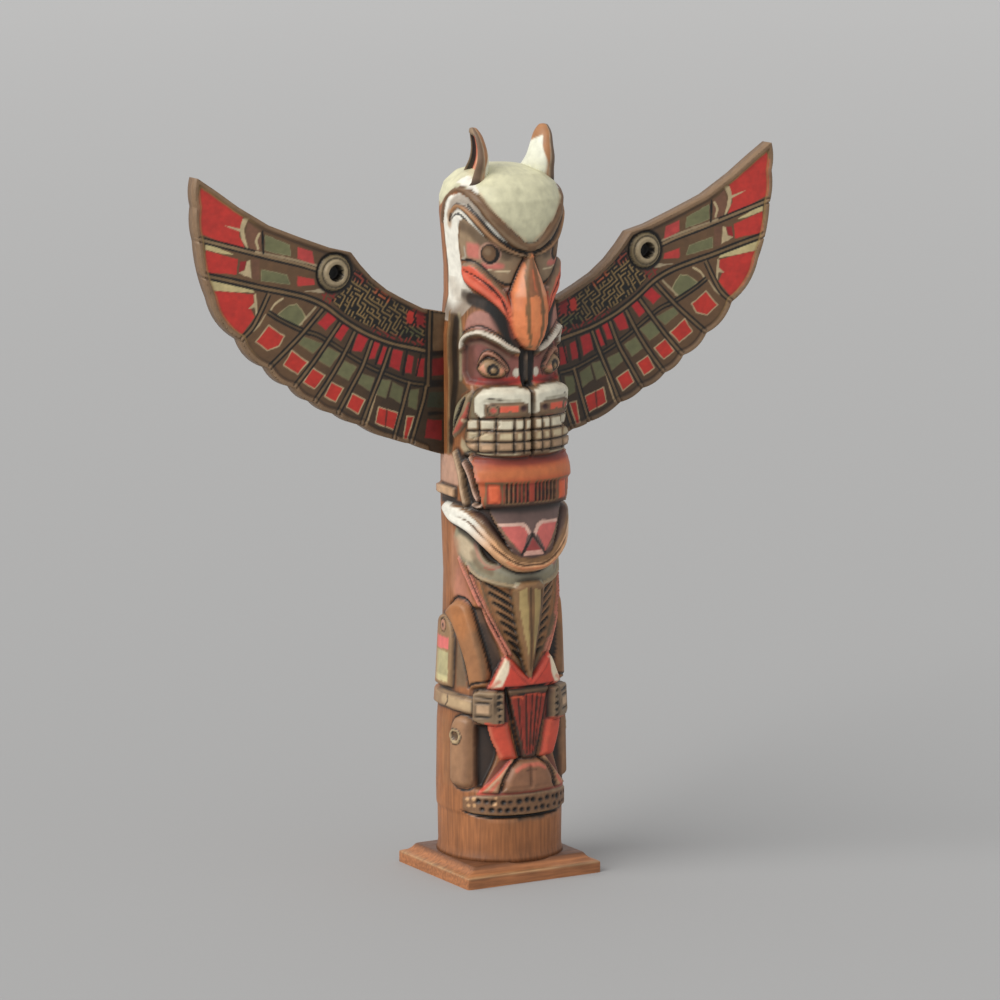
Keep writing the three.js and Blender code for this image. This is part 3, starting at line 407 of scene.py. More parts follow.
def beak_paint(p, u):
    """Stripes of the upper beak; they are laid by the true sign of u."""
    beak = p.area([(2, 378), (-2, 376), (-5.6, 369), (-9, 361), (-12.2, 353), (-13.4, 344), (-12.6, 334), (-10.2, 327), (-6, 321.4), (2, 318.6)])
    p.coat(beak, ORANGE, loose=0.4)
    p.coat(p.line([(-12.6, 354), (-13.2, 344), (-12, 334), (-9.6, 327), (-5, 321)], 2.6), paint_of(206, 88, 62), soft=2.4, strength=0.75)
    p.coat(p.area([(2, 352), (-10, 352), (-5, 368), (2, 374)]), paint_of(226, 156, 118), soft=2.0, strength=0.8)
    p.across = u
    stripe = paint_of(128, 92, 56)
    p.coat(p.line([(-1.2, 376), (-3.6, 362), (-4.6, 348), (-4.4, 336), (-3.4, 328), (-2.4, 322)], lambda t: 2.4 - 0.8 * t), stripe)
    p.coat(p.line([(0.6, 374), (1.6, 362), (2.8, 352), (3.4, 340), (2.6, 330), (0.8, 322)], lambda t: 2.6 - 1.0 * t), stripe)
    p.coat(p.area([(-1.4, 375), (-4.4, 352), (3, 352), (1, 375)]), paint_of(132, 84, 52), strength=0.9)
    p.coat(p.line([(-0.6, 368), (-0.4, 360), (0.2, 354)], 1.0), paint_of(206, 104, 66), strength=0.8)
    p.coat(p.line([(-0.4, 352), (-0.6, 344), (-0.6, 332)], lambda t: 2.6 - t), paint_of(224, 136, 84), soft=1.4)
    p.coat(p.line([(6.4, 366), (8, 356)], 2.2), paint_of(230, 170, 134), soft=1.8, strength=0.7)
    p.across = -np.abs(u)
    rim = p.line([(-2, 376.6), (-6, 369.6), (-9.8, 361), (-12.8, 353)], 1.0)
    p.groove(rim, 1.0)
    p.coat(rim, DARK)
    # Painted shade under the beak tip.
    p.shade_and_stain(p.line([(0, 318.6), (-5, 320.6), (-9.6, 325.6)], 1.0), DARK, reach=2.4, strength=0.8)


# ---------------------------------------------------------------- toothed face
def toothed_face(p, u):
    side = p.area([(-58, 340), (-46, 340), (-42.6, 330), (-42, 312), (-43, 300), (-38, 296), (-44, 292), (-52, 274), (-54, 256), (-60, 256)])
    p.coat(side, paint_of(96, 74, 50), soft=2)
    p.coat(p.line([(-48, 340), (-45, 330), (-44.6, 316), (-45, 302)], 2.2), paint_of(168, 156, 124), soft=2.6, strength=0.8)
    # Painted shade: a dark column down the side of the log beside the wing root.
    p.shade_and_stain(p.line([(-50, 336), (-50.6, 318), (-50, 300), (-53, 284), (-54.6, 264)], 3.2), BLACK, reach=3.4, strength=0.85)
    rib = p.line([(-57.4, 341), (-57.6, 320), (-57, 298), (-57.4, 276), (-58, 255)], 1.6)
    p.rise(rib, 1.2, edge=0.8)
    p.coat(rib, paint_of(150, 112, 70))
    forehead = p.area([(-42, 331), (-40, 338), (-35, 342), (-28, 342.6), (-22, 338.6), (-18.6, 332), (-25, 330.6), (-33, 332)], smooth=True)
    p.coat(forehead, paint_of(174, 122, 108), soft=2.0)
    # Painted shade in the dark cave beside the upper beak.
    p.shade_and_stain(p.line([(-22, 342), (-17, 333), (-11, 324)], 2.0), BLACK, reach=4.5, strength=0.95)
    ridge = p.line([(-44, 319), (-43.4, 324), (-39, 328.4), (-30, 330), (-20, 326), (-12, 320.8), (-5.6, 318.6)], lambda t: 3.0 + 1.6 * np.sin(3.14 * t))
    skin = p.area([(-43, 322), (-38, 326), (-30, 327.4), (-20, 323), (-12, 317.6), (-4, 315.6), (-3.4, 299.6), (-14, 299), (-30, 299), (-40, 300), (-43.6, 306)])
    p.sink(skin, 2.6, edge=2.5)
    p.coat(skin, SKIN)
    p.coat(p.area([(-43, 322), (-36, 322), (-34, 312), (-36, 300), (-43.6, 304)]), paint_of(104, 60, 44), soft=5, strength=0.8)
    # Painted light on the brow ridge: the lighter band on the skin under it is a painted highlight; the dark wash under
    # it, and the grey-brown of the ridge left below its white top, are painted shade.
    p.coat(p.line([(-40, 322.6), (-32, 324.6), (-22, 321), (-13, 315)], 2.4), paint_of(160, 122, 100), soft=2.6, strength=0.8)
    p.shade_and_stain(p.line([(-43, 323), (-38, 325.6), (-30, 326.6), (-20, 322.4), (-10, 317)], 0.6), DARK, reach=1.6, strength=0.7)
    p.rise(ridge, 2.6, edge=2.0)
    p.coat(ridge, paint_of(112, 94, 72))
    p.coat(p.line([(-44, 321), (-42.4, 325.6), (-38, 329), (-30, 330.8), (-20.4, 327), (-12.4, 321.8), (-6, 319.8)], 2.3), paint_of(226, 218, 200))
    cut = p.line([(-43, 329.6), (-37, 333), (-29, 333.8), (-20, 329.6), (-12.6, 324)], 1.2)
    p.groove(cut, 1.0)
    p.coat(cut, BLACK)
    # eye
    eye = p.area([(-33.6, 308.6), (-30, 313.4), (-25, 315.2), (-19.6, 313), (-14.6, 308), (-16, 304.4), (-22, 303.2), (-29, 304.4)], smooth=True)
    p.rise(eye, 1.2, edge=4, low=-2.6)
    p.coat(eye, paint_of(96, 68, 46), inset=-0.6)
    p.coat(eye, paint_of(160, 130, 96), inset=0.5)
    p.coat(p.area([(-31.6, 308.6), (-28, 312), (-26, 305.2)]), paint_of(222, 156, 124))
    p.coat(p.area([(-18.8, 310), (-15.4, 307.8), (-18, 305)]), paint_of(214, 144, 110))
    pupil = p.spot(-22.4, 308.4, 3.7)
    p.groove(pupil, 0.5)
    p.coat(pupil, BLACK, loose=0.2)
    # Painted highlight: a light brown spot in the middle of the pupil.
    pupil_highlight = p.spot(-22.2, 308.2, 1.7)
    p.add(pupil_highlight, 0.9)
    p.coat(pupil_highlight, paint_of(150, 122, 86), soft=0.9, loose=0.2)
    lid = p.line([(-31.6, 312), (-28.6, 317.4), (-23.6, 317.6), (-18, 313.6), (-13.8, 308.4)], 3.2)
    p.rise(lid, 0.2, edge=1.6, low=-2.4)
    p.coat(lid, paint_of(176, 120, 98), soft=1)
    for points, width in (([(-33, 309.6), (-29.4, 314.4), (-24.6, 316), (-19, 313.8), (-14.2, 308.6)], 0.9),
                          ([(-32.6, 313), (-29, 319), (-23.4, 319.4), (-17, 315), (-12.6, 309), (-14, 303.8)], 1.0)):
        cut = p.line(points, width)
        p.groove(cut, 0.7)
        p.coat(cut, DARK)
    red = p.area([(-33, 303), (-26, 302.8), (-16, 303.4), (-4, 304), (-4, 299.6), (-20, 299.8), (-34, 299.6)])
    p.coat(red, RED, soft=1.0)
    p.coat(p.area([(-40, 303), (-30, 303.6), (-30, 299), (-40, 299)]), paint_of(150, 56, 46), soft=3, strength=0.6)
    p.coat(p.spot(-7.6, 306.2, 2.2, squash=1.2), paint_of(230, 220, 200), soft=1)
    # central channel and the slit below it
    channel = p.between([(-6.2, 321.6), (-5.8, 310), (-4.6, 300), (-2.0, 292)], [(1, 321.6), (1, 310), (1, 300), (1, 292)])
    p.sink(channel, 3.4, edge=1.2)
    p.coat(channel, BLACK)
    thin = p.line([(0, 320), (0, 308), (0, 299)], 2.6)
    p.rise(thin, -1.2, edge=1.2, low=-3.2)
    p.coat(p.line([(-0.9, 319), (-0.9, 308), (-0.9, 300)], 0.8), paint_of(116, 96, 82))
    # cheek leaf
    leaf = p.between([(-36, 295.6), (-42, 292), (-47.6, 286), (-50.6, 277), (-52, 267.4)], [(-34, 293), (-35.6, 286), (-39, 277.6), (-44, 271), (-51, 265.8)])
    p.rise(leaf, lambda t: 4.0 - 1.6 * t, edge=2.4)
    p.coat(leaf, paint_of(150, 130, 100))
    p.coat(p.area([(-37.6, 292), (-43, 289.6), (-48, 283), (-50.6, 272.6), (-47, 276), (-42.6, 283)], smooth=True), paint_of(150, 142, 112), soft=1)
    p.coat(p.area([(-36, 290), (-39, 283.6), (-44.6, 275), (-50.6, 267.6), (-44.6, 271.6), (-39.6, 278), (-36.4, 285)]), paint_of(196, 92, 76), soft=1)
    p.coat(p.spot(-40.4, 277.6, 1.2), CREAM, soft=1, strength=0.7)
    p.coat(p.line([(-36, 297.6), (-34, 291), (-37, 282)], 1.6), paint_of(214, 178, 150), soft=1.6, strength=0.8)
    slit = p.line([(-39.4, 291), (-43, 283), (-46.6, 277.4), (-49.6, 271.6)], 1.8)
    p.groove(slit, 2.2)
    p.coat(slit, BLACK)
    muzzle_and_teeth(p, u)


def muzzle_and_teeth(p, u):
    muzzle = p.between([(1, 297), (-8, 298.6), (-20, 299), (-29, 298), (-34.6, 293.6), (-37.4, 284), (-40.4, 272)],
                       [(1, 256.4), (-9, 255.6), (-20, 256), (-28, 257), (-35, 259.6), (-39.5, 262.6), (-41.6, 268)])
    p.rise(muzzle, lambda t: 6.4 * (1 - 0.55 * t**5), edge=4.2)
    p.coat(muzzle, paint_of(112, 88, 64))
    snout = p.area([(-1.8, 296.4), (-8, 298), (-19, 298.6), (-28, 297.4), (-31.8, 292), (-32, 284), (-29, 280.8), (-26.6, 282), (-26.4, 288.6), (-22, 290),
                    (-6, 289.8), (-3.6, 288), (-3.0, 283.6), (-1.4, 283)])
    p.coat(snout, paint_of(228, 222, 200), soft=0.8)
    # Painted shade: grey-olive along the rounding left edge of the white snout, and grey under the line above the bar.
    p.coat(p.line([(-33, 294), (-34, 288), (-33, 281)], 2.6), paint_of(122, 112, 86), soft=2.4, strength=0.8)
    p.coat(p.line([(-26, 290.8), (-16, 291.2), (-8, 290.8)], 1.6), paint_of(140, 130, 104), soft=1.8, strength=0.7)
    p.coat(p.line([(-25.6, 292.6), (-19, 291.8), (-10, 291.8)], 0.7), DARK)
    bar = p.area([(-26, 289), (-21, 289.6), (-5.4, 289.4), (-3.8, 287), (-4, 282), (-9, 280.8), (-20, 280.6), (-26, 281.6)], smooth=True)
    p.add(bar, 1.5, edge=1.4)
    p.coat(bar, paint_of(122, 96, 70))
    p.coat(p.area([(-18.4, 287.8), (-9, 288), (-9, 284.6), (-12, 284.4), (-13.6, 285.4), (-15, 284), (-18.4, 284.6)]), CORAL, loose=0.5)
    for radius, colour, lift in ((3.4, DARK, -0.6), (2.8, paint_of(134, 108, 80), 0.5), (1.6, paint_of(196, 92, 78), -0.3)):
        ring = p.spot(-21.8, 285.4, radius)
        p.add(ring, lift, edge=0.7)
        p.coat(ring, colour, loose=0.3)
    pit = p.spot(-6.2, 286.4, 1.9)
    p.add(pit, -1.0, edge=1.2)
    p.coat(pit, paint_of(70, 40, 38), soft=1.4)
    p.coat(p.line([(-25, 280), (-16, 279.6), (-8, 280)], 2.0), paint_of(196, 92, 74), soft=1.0, strength=0.85)
    # teeth: worn blocks between cut rows and columns
    rows = [(279.4, 273.6), (272.4, 267), (265.8, 261)]
    columns = [(-37.6, -30.4), (-29.2, -21.0), (-19.8, -11.4), (-10.2, -6.0), (-4.9, -1.2)]
    tones = np.random.default_rng(12).uniform(0, 1, (3, 5, 2))
    for i, z in enumerate((279.9, 273.0, 266.4, 260.4)):
        cut = p.line([(1, z), (-14, z), (-27, z - 0.4), (-39, z - 1.4)], 1.3)
        p.groove(cut, 1.9)
        p.coat(cut, DARK)
    for c in (-29.8, -20.4, -10.8, -5.4):
        cut = p.line([(c, 280), (c - 0.5, 268), (c - 0.2, 259.4)], 1.3)
        p.groove(cut, 1.9)
        p.coat(cut, DARK)
    worn = (paint_of(234, 224, 196), paint_of(214, 196, 158), paint_of(196, 160, 126))
    for i, (top, foot) in enumerate(rows):
        for j, (left, right) in enumerate(columns):
            a, b = tones[i, j]
            drop = 0.5 if j < 2 else 0
            inset = (0.3, 0.7, 0.8)[i]
            tooth = p.area([(left, top - drop), (right, top - 0.2), (right - 0.2, foot + 0.3), (left + 0.3, foot - drop)])
            p.coat(tooth, paint_of(150, 122, 92), inset=-0.2)
            p.coat(tooth, worn[i] * (0.82 + 0.3 * a), inset=inset + 0.4 * b, soft=0.9, strength=0.95)
    for z, colour in ((259.0, paint_of(206, 194, 160)), (257.4, paint_of(150, 132, 100))):
        p.coat(p.line([(-38, z + 2), (-30, z), (-20, z - 0.4), (-8, z + 0.2)], 0.8), colour, strength=0.8)
    p.coat(p.area([(-44, 267), (-40, 264), (-36, 259), (-40, 257.6), (-45, 261)], smooth=True), paint_of(196, 182, 146), soft=2.4, strength=0.8)
    slit = p.line([(0, 300), (0, 286), (0.0, 272), (0, 256)], 1.8)
    p.groove(slit, 4.6, edge=1.0)
    p.coat(slit, BLACK)


# ---------------------------------------------------------------- bound scroll
def scroll_lift():
    lift = np.full(U.shape, -99.0)
    profile = np.array([(226, 0.9), (228, 0.95), (231, 0.965), (240.6, 0.965), (242.5, 1), (248, 0.985), (253, 0.95), (256.5, 0.9)])
    k = np.interp(Z, profile[:, 0], profile[:, 1])
    r = squared(ANGLE, 40 * k, 38.6 * k + 1.6, 2.6)
    span = 27.5 / GIRTH_RADIUS + (Z - 226) * 0.006
    here = (Z > 226) & (Z < 256.5) & (np.abs(ANGLE) < span)
    lift[here] = (r - BODY)[here]
    return lift.ravel()


def scroll(p, u):
    arm = p.area([(-72, 254), (-54, 255), (-49, 252), (-45.6, 240), (-48, 237), (-72, 238)])
    p.coat(arm, paint_of(206, 160, 134), soft=1.5)
    # Painted shadow: a dark strip under the peg.
    p.coat(p.area([(-78, 229), (-50, 229.6), (-44, 227), (-40, 226), (-44, 224), (-78, 226)]), DARK, soft=2)
    # Dark wash and painted shade in the recess between the rolled ridges.
    p.shade_and_stain(p.line([(-47, 257), (-42, 246), (-38.6, 232), (-36, 226)], 3.0), BLACK, reach=3.5, strength=0.95)
    p.shade_and_stain(p.line([(-40, 256), (-32, 247), (-30, 236), (-31, 228)], 3.0), BLACK, reach=3.0, strength=0.95)
    p.sink(p.area([(-44, 257), (-34, 256), (-28, 240), (-30, 226), (-40, 226)]), 2.0, edge=2)
    # Each ridge gets a lighter line along its crest: a painted highlight.
    for points, width, lift, outer, inner in (
        ([(-49, 257), (-44.6, 246), (-42.6, 236), (-40, 227)], 4.4, 2.8, paint_of(150, 122, 92), paint_of(208, 176, 142)),
        ([(-41, 252), (-37, 245), (-33.6, 235), (-31.6, 231)], 3.2, 3.4, paint_of(146, 112, 96), paint_of(222, 186, 166)),
        ([(-36, 256), (-30, 247), (-27.4, 238), (-27.2, 230), (-30.6, 226.6), (-34, 227.6)], 2.8, 4.6, paint_of(140, 110, 88), paint_of(220, 190, 170))):
        ridge = p.line(points, width)
        p.rise(ridge, lift, edge=1.5)
        p.coat(ridge, outer)
        p.coat(p.line(points, width * 0.45), inner, soft=0.8, strength=0.85)
    peg = p.area([(-78, 235.6), (-63, 236.6), (-49, 236.4), (-49, 230.2), (-63, 230.4), (-78, 229.6)])
    # Painted shadow round the foot of the peg.
    p.shade_and_stain(peg, BLACK, reach=2.0, strength=0.9)
    p.rise(peg, 2.6, edge=0.9)
    p.coat(peg, BROWN)
    p.coat(peg, paint_of(204, 164, 126), inset=0.7)
    p.lift = np.maximum(p.lift, scroll_lift())
    roll = p.area([(2, 257), (-34, 257), (-33, 250), (-30, 241), (-27.4, 226), (2, 226)])
    p.coat(roll, RUST)
    p.coat(p.line([(1, 247), (-14, 247.4), (-29, 247)], 6), paint_of(206, 120, 70), soft=5, strength=0.7)
    p.coat(p.area([(2, 257), (-34, 257), (-33, 253.6), (-16, 252), (2, 251.6)]), paint_of(130, 44, 34), soft=2.6, strength=0.85)
    p.coat(p.area([(-35, 257), (-31, 250), (-28.4, 243), (-31, 242), (-35, 250)]), paint_of(214, 128, 104), soft=1.4, strength=0.8)
    p.coat(p.area([(2, 241), (-26, 241), (-25.6, 229), (2, 229)]), paint_of(164, 62, 44), soft=1.0)
    p.coat(p.area([(2, 229.6), (-26, 229.6), (-26, 226), (2, 226)]), paint_of(96, 64, 46), soft=1.2)
    frame_line = p.line([(-16.8, 241.6), (-25.4, 242), (-26.2, 229)], 1.1, smooth=False)
    p.coat(frame_line, paint_of(128, 98, 66))
    end = p.area([(-24.4, 240.4), (-18.6, 240.4), (-18.6, 229.8), (-24, 229.8)])
    p.add(end, 0.5, edge=1.2)
    p.coat(end, paint_of(222, 102, 62))
    p.coat(p.line([(-17.4, 241), (-17.2, 229.6)], 1.5), paint_of(120, 92, 62))
    for i in range(6):
        c = -2.6 - 2.45 * i
        p.coat(p.line([(c, 241.6), (c, 229.4)], 1.9), paint_of(138, 104, 66), strength=0.85)
        cut = p.line([(c, 240.8), (c, 229.8)], 1.15)
        p.groove(cut, 1.7)
        p.coat(cut, paint_of(54, 22, 16), loose=0.7)


# ---------------------------------------------------------------- bowl-mouthed bird
BOWL = np.array([(191, 5, 38.6), (196.4, 9, 40.8), (200, 14.5, 41.2), (206, 20, 40.2), (213, 26, 38.8), (220, 32, 37.4), (226.4, 36, 36.4)])


def bowl_lift():
    lift = np.full(U.shape, -99.0)
    half, front = np.interp(Z, BOWL[:, 0], BOWL[:, 1]), np.interp(Z, BOWL[:, 0], BOWL[:, 2])
    r = squared(ANGLE, 34.4, front, 2.6)
    here = (Z > 191) & (Z < 226.4) & (np.abs(np.degrees(ANGLE)) < half + 4)
    lift[here] = (r - BODY)[here]
    return lift.ravel()


def bowl(p):
    p.lift = np.maximum(p.lift, bowl_lift())
    upper = [(2, 197), (-7, 198.6), (-14, 204), (-21, 213), (-28, 222), (-38, 225), (-50, 226.4), (-60, 226.4), (-69, 222.6)]
    lower = [(2, 186.6), (-9, 187.6), (-19, 193.4), (-28, 202), (-37, 209.6), (-45, 212.8), (-54, 214.6), (-62, 218), (-69, 221.6)]
    floor = p.area([(2, 227), (-27, 227), (-23.4, 219), (-15, 206), (-9.4, 199), (2, 195.6)])
    p.coat(floor, paint_of(108, 84, 78))
    # Painted shadow: a near-black strip at the top of the bowl floor, under the scroll.
    p.coat(p.area([(2, 228), (-28, 228), (-26, 223.6), (2, 223)]), paint_of(40, 30, 28), soft=4, strength=0.9)
    lip = p.between(upper, lower)
    p.rise(lip, lambda t: np.where(t < 0.34, 5.8 + 5 * t, 7.5 - 8.9 * (t - 0.34)), edge=3.0)
    t = lip.along
    tone = WHITE * step((t - 0.3) / 0.25)[:, None] + paint_of(232, 176, 128) * (1 - step((t - 0.3) / 0.25))[:, None]
    p.coat(lip, tone)
    # inner rim: brown, then a dark worn band down to the floor
    p.coat(p.line([(2, 197), (-7, 198.4), (-13.4, 203.4), (-20.4, 212.4), (-27.4, 221.4), (-34, 225)], 5.2), paint_of(88, 62, 56), soft=1.2)
    p.coat(p.line([(2, 194.4), (-8.4, 196), (-16, 202.4), (-23, 211), (-30.4, 219.6), (-40, 224.4), (-52, 226)], lambda t: 3.0 - 1.8 * t),
           paint_of(136, 98, 62), soft=0.9)
    cut = p.line([(2, 198.6), (-5.6, 199.4), (-11, 204.4), (-17.6, 213.4), (-24, 223)], 0.9)
    p.groove(cut, 0.6)
    p.coat(cut, paint_of(146, 116, 84), strength=0.9)
    cut = p.line([(2, 191.6), (-8, 192.8), (-17, 199), (-26, 208.6), (-34, 216.6), (-40, 219.2), (-46, 219.4)], lambda t: 1.3 - 0.4 * t)
    p.groove(cut, 1.0)
    p.coat(cut, paint_of(126, 88, 54))
    p.coat(p.line([(2, 189.4), (-8, 190.4), (-15, 194.6)], lambda t: 2.4 - 1.4 * t), paint_of(214, 130, 84), soft=1.2, strength=0.9)
    line = p.line([(2, 186), (-9, 187), (-19.4, 192.6), (-28.4, 201), (-37, 208.6), (-45, 212), (-54, 214), (-62, 217.6)], lambda t: 1.6 - 0.7 * t)
    p.coat(line, BLACK, strength=0.9)
    # Painted shade under the outer part of the lip.
    p.shade_and_stain(p.line([(-30, 201.6), (-38, 208), (-46, 211.4)], 1.4), BLACK, reach=3.0, strength=0.7)
    top = p.line([(-24, 224.6), (-36, 226.6), (-50, 228), (-62, 228), (-70, 225)], 1.6)
    p.coat(top, DARK, soft=1)
    # painted triangles on the floor
    p.coat(p.area([(-1.2, 211.6), (-3.6, 216.2), (-7, 217.6), (-20, 217.2), (-18.4, 215.2), (-7.6, 215.4), (-4.4, 213.6), (-2.2, 209.6)]), paint_of(224, 182, 164))
    p.coat(p.area([(-2.8, 210.4), (-5, 214.4), (-8, 215.8), (-18.2, 215.6), (-14.6, 210), (-10, 203.4), (-7.2, 199.8)]), paint_of(208, 104, 96))
    p.coat(p.area([(2, 209), (0, 208.6), (-5.8, 199), (2, 199)]), paint_of(150, 62, 58))
    p.coat(p.area([(2, 200.6), (-5.4, 200.6), (-6, 198), (2, 198)]), paint_of(222, 170, 152))
    cut = p.line([(0, 210), (-3.4, 204.6), (-7, 198.8)], 1.3)
    p.groove(cut, 0.5)
    p.coat(cut, paint_of(36, 24, 18))


def lower_face(p):
    face = p.area([(2, 187), (-10, 188), (-20, 193.6), (-30, 203), (-40, 210), (-50, 212), (-54, 206), (-50, 196), (-42, 190), (-30, 182), (-20, 179), (-10, 177.4),
                   (2, 179)], smooth=False)
    p.coat(face, paint_of(152, 144, 118), soft=2.4)
    p.coat(p.area([(-36, 205), (-44, 208.4), (-50, 206), (-48, 198), (-40, 193), (-34, 196)], smooth=True), paint_of(206, 184, 152), soft=4, strength=0.8)
    p.coat(p.area([(-56, 212), (-48, 204), (-48, 180), (-40, 168), (-52, 166), (-60, 176)]), paint_of(176, 122, 92), soft=6, strength=0.7)
    p.coat(p.area([(-46, 192), (-42, 180), (-36, 168), (-44, 164), (-54, 172), (-53, 186)]), paint_of(186, 122, 100), soft=5, strength=0.7)
    eye = p.area([(-32, 205), (-26.6, 200.4), (-21, 196), (-18, 192.6), (-21, 191.8), (-26, 193.4), (-29.6, 197.4)], smooth=True)
    p.sink(eye, 3.0, edge=2.0)
    p.coat(eye, paint_of(66, 48, 36), soft=1.2)
    p.coat(p.line([(-28, 200), (-24.6, 196), (-20.6, 193.4)], 2.4), BLACK, soft=1.2)
    p.coat(p.line([(-34, 204), (-32.4, 198), (-28.6, 192.6), (-23, 190.4), (-18.4, 191)], lambda t: 2.2 - t), paint_of(196, 140, 118), soft=1.4, strength=0.8)
    p.coat(p.line([(-28, 189.8), (-23, 189), (-18.6, 190.4), (-17.4, 192)], 1.1), paint_of(196, 84, 72), soft=0.9, strength=0.8)
    p.shade_and_stain(p.line([(-36, 198), (-32, 191), (-24, 187)], 1.0), BROWN, reach=3, strength=0.5)
    # Painted highlight: a pale grey glint on the face under the lip.
    p.coat(p.line([(2, 185), (-12, 186), (-20, 189)], 3.0), paint_of(178, 176, 158), soft=3, strength=0.5)
    # cheek lines and jaw ridges
    for points, colour, width, lift in (
        ([(-41, 191), (-33, 184.6), (-22, 181), (-10, 178.6)], paint_of(166, 146, 114), 2.6, 1.6),
        ([(-47.6, 194), (-43, 186), (-39, 180), (-33, 170), (-28, 161), (-21, 149), (-15, 137.6)], paint_of(214, 128, 106), 2.2, 2.0),
        ([(-39.6, 189), (-34.6, 178), (-29, 168), (-23.6, 158.6), (-17, 147), (-12, 138)], paint_of(204, 120, 100), 2.4, 2.0)):
        ridge = p.line(points, width)
        p.rise(ridge, lift, edge=1.1)
        p.coat(ridge, colour)
        # A lighter copy of the ridge colour along its crest is a painted highlight.
        p.coat(p.line(points, 0.8), colour * 1.25, soft=0.8, strength=0.6)
    for points in ([(-40.6, 190), (-38, 184), (-32.6, 173.6), (-26, 161.6), (-19, 148.6)], [(-41, 189.6), (-36.4, 185), (-28, 180.4), (-18, 177.4), (-10.6, 176.6)]):
        cut = p.line(points, 1.1)
        p.groove(cut, 1.0)
        p.coat(cut, DARK)
    # gill panel
    gills = p.between([(-10.8, 178), (-19, 178.6), (-30, 181)], [(-3.6, 133), (-8, 136), (-12, 140)])
    panel = p.area([(-9.6, 177.4), (-20, 178.4), (-31, 182), (-26, 168), (-18, 152), (-8, 135.6), (-3.6, 127.6), (-2.4, 132), (-5, 145), (-8, 160)])
    p.sink(panel, 1.4, edge=2)
    p.coat(panel, paint_of(158, 108, 66))
    count = 8
    for i in range(count):
        f = i / (count - 1)
        z = 175.6 - 38.6 * f
        outer, inner = -27.4 + 17.0 * f, -10.6 + 6.4 * f
        points = [(outer, z + 4.8 - 2.2 * f), ((outer + inner) / 2, z + 0.4), (inner, z - 4.4 + 1.4 * f)]
        p.coat(p.line(points, 3.2), paint_of(120, 92, 62), soft=1.0, strength=0.8)
        cut = p.line(points, lambda t: 1.0 + 1.3 * np.sin(3.14 * np.clip(t, 0.05, 0.95)))
        p.groove(cut, 1.7)
        p.coat(cut, BLACK)
    border = p.line([(-10.6, 178), (-9.4, 165), (-6.6, 148), (-3.8, 134), (-1.4, 124)], 1.3)
    p.coat(border, paint_of(120, 92, 60))
    border = p.line([(-31, 181.6), (-26, 168), (-18.6, 152), (-10, 138), (-3, 127), (0, 122.6)], 1.2)
    p.coat(border, paint_of(112, 88, 60))


def long_beak_paint(p, u):
    cap = p.area([(2, 182), (-6, 181), (-10.6, 177.6), (-9.6, 165), (-7, 150), (-4.2, 136), (-1.4, 123), (2, 119)])
    p.coat(cap, paint_of(126, 92, 58), loose=0.4)
    p.across = u
    for points, colour in (([(-8.4, 176.4), (-3.0, 179), (-2.2, 160), (-1.4, 140), (-1.4, 132), (-3.2, 142), (-5.6, 154), (-7.6, 166)], paint_of(166, 142, 92)),
                           ([(0.6, 178), (5.4, 176), (4.8, 160), (2.4, 142), (0.8, 132), (0.2, 150)], paint_of(170, 144, 94)),
                           ([(7.2, 175), (9.4, 174), (8.0, 160), (5.0, 148), (6.4, 162)], paint_of(110, 74, 44))):
        p.coat(p.area(points), colour, inset=0.3, loose=0.5)
    cut = p.line([(-1.2, 178), (-1.0, 160), (-0.6, 144), (-0.4, 128)], 1.0)
    p.groove(cut, 0.7)
    p.coat(cut, paint_of(96, 68, 42))
    cut = p.line([(6.4, 176), (5.6, 160), (3.4, 146), (1.0, 130)], 1.0)
    p.groove(cut, 0.7)
    p.coat(cut, paint_of(84, 56, 34))
    p.across = -np.abs(u)
    arch = p.line([(2, 180.4), (-5, 179.6), (-10.4, 176.4)], 1.6)
    p.coat(arch, paint_of(140, 104, 66))


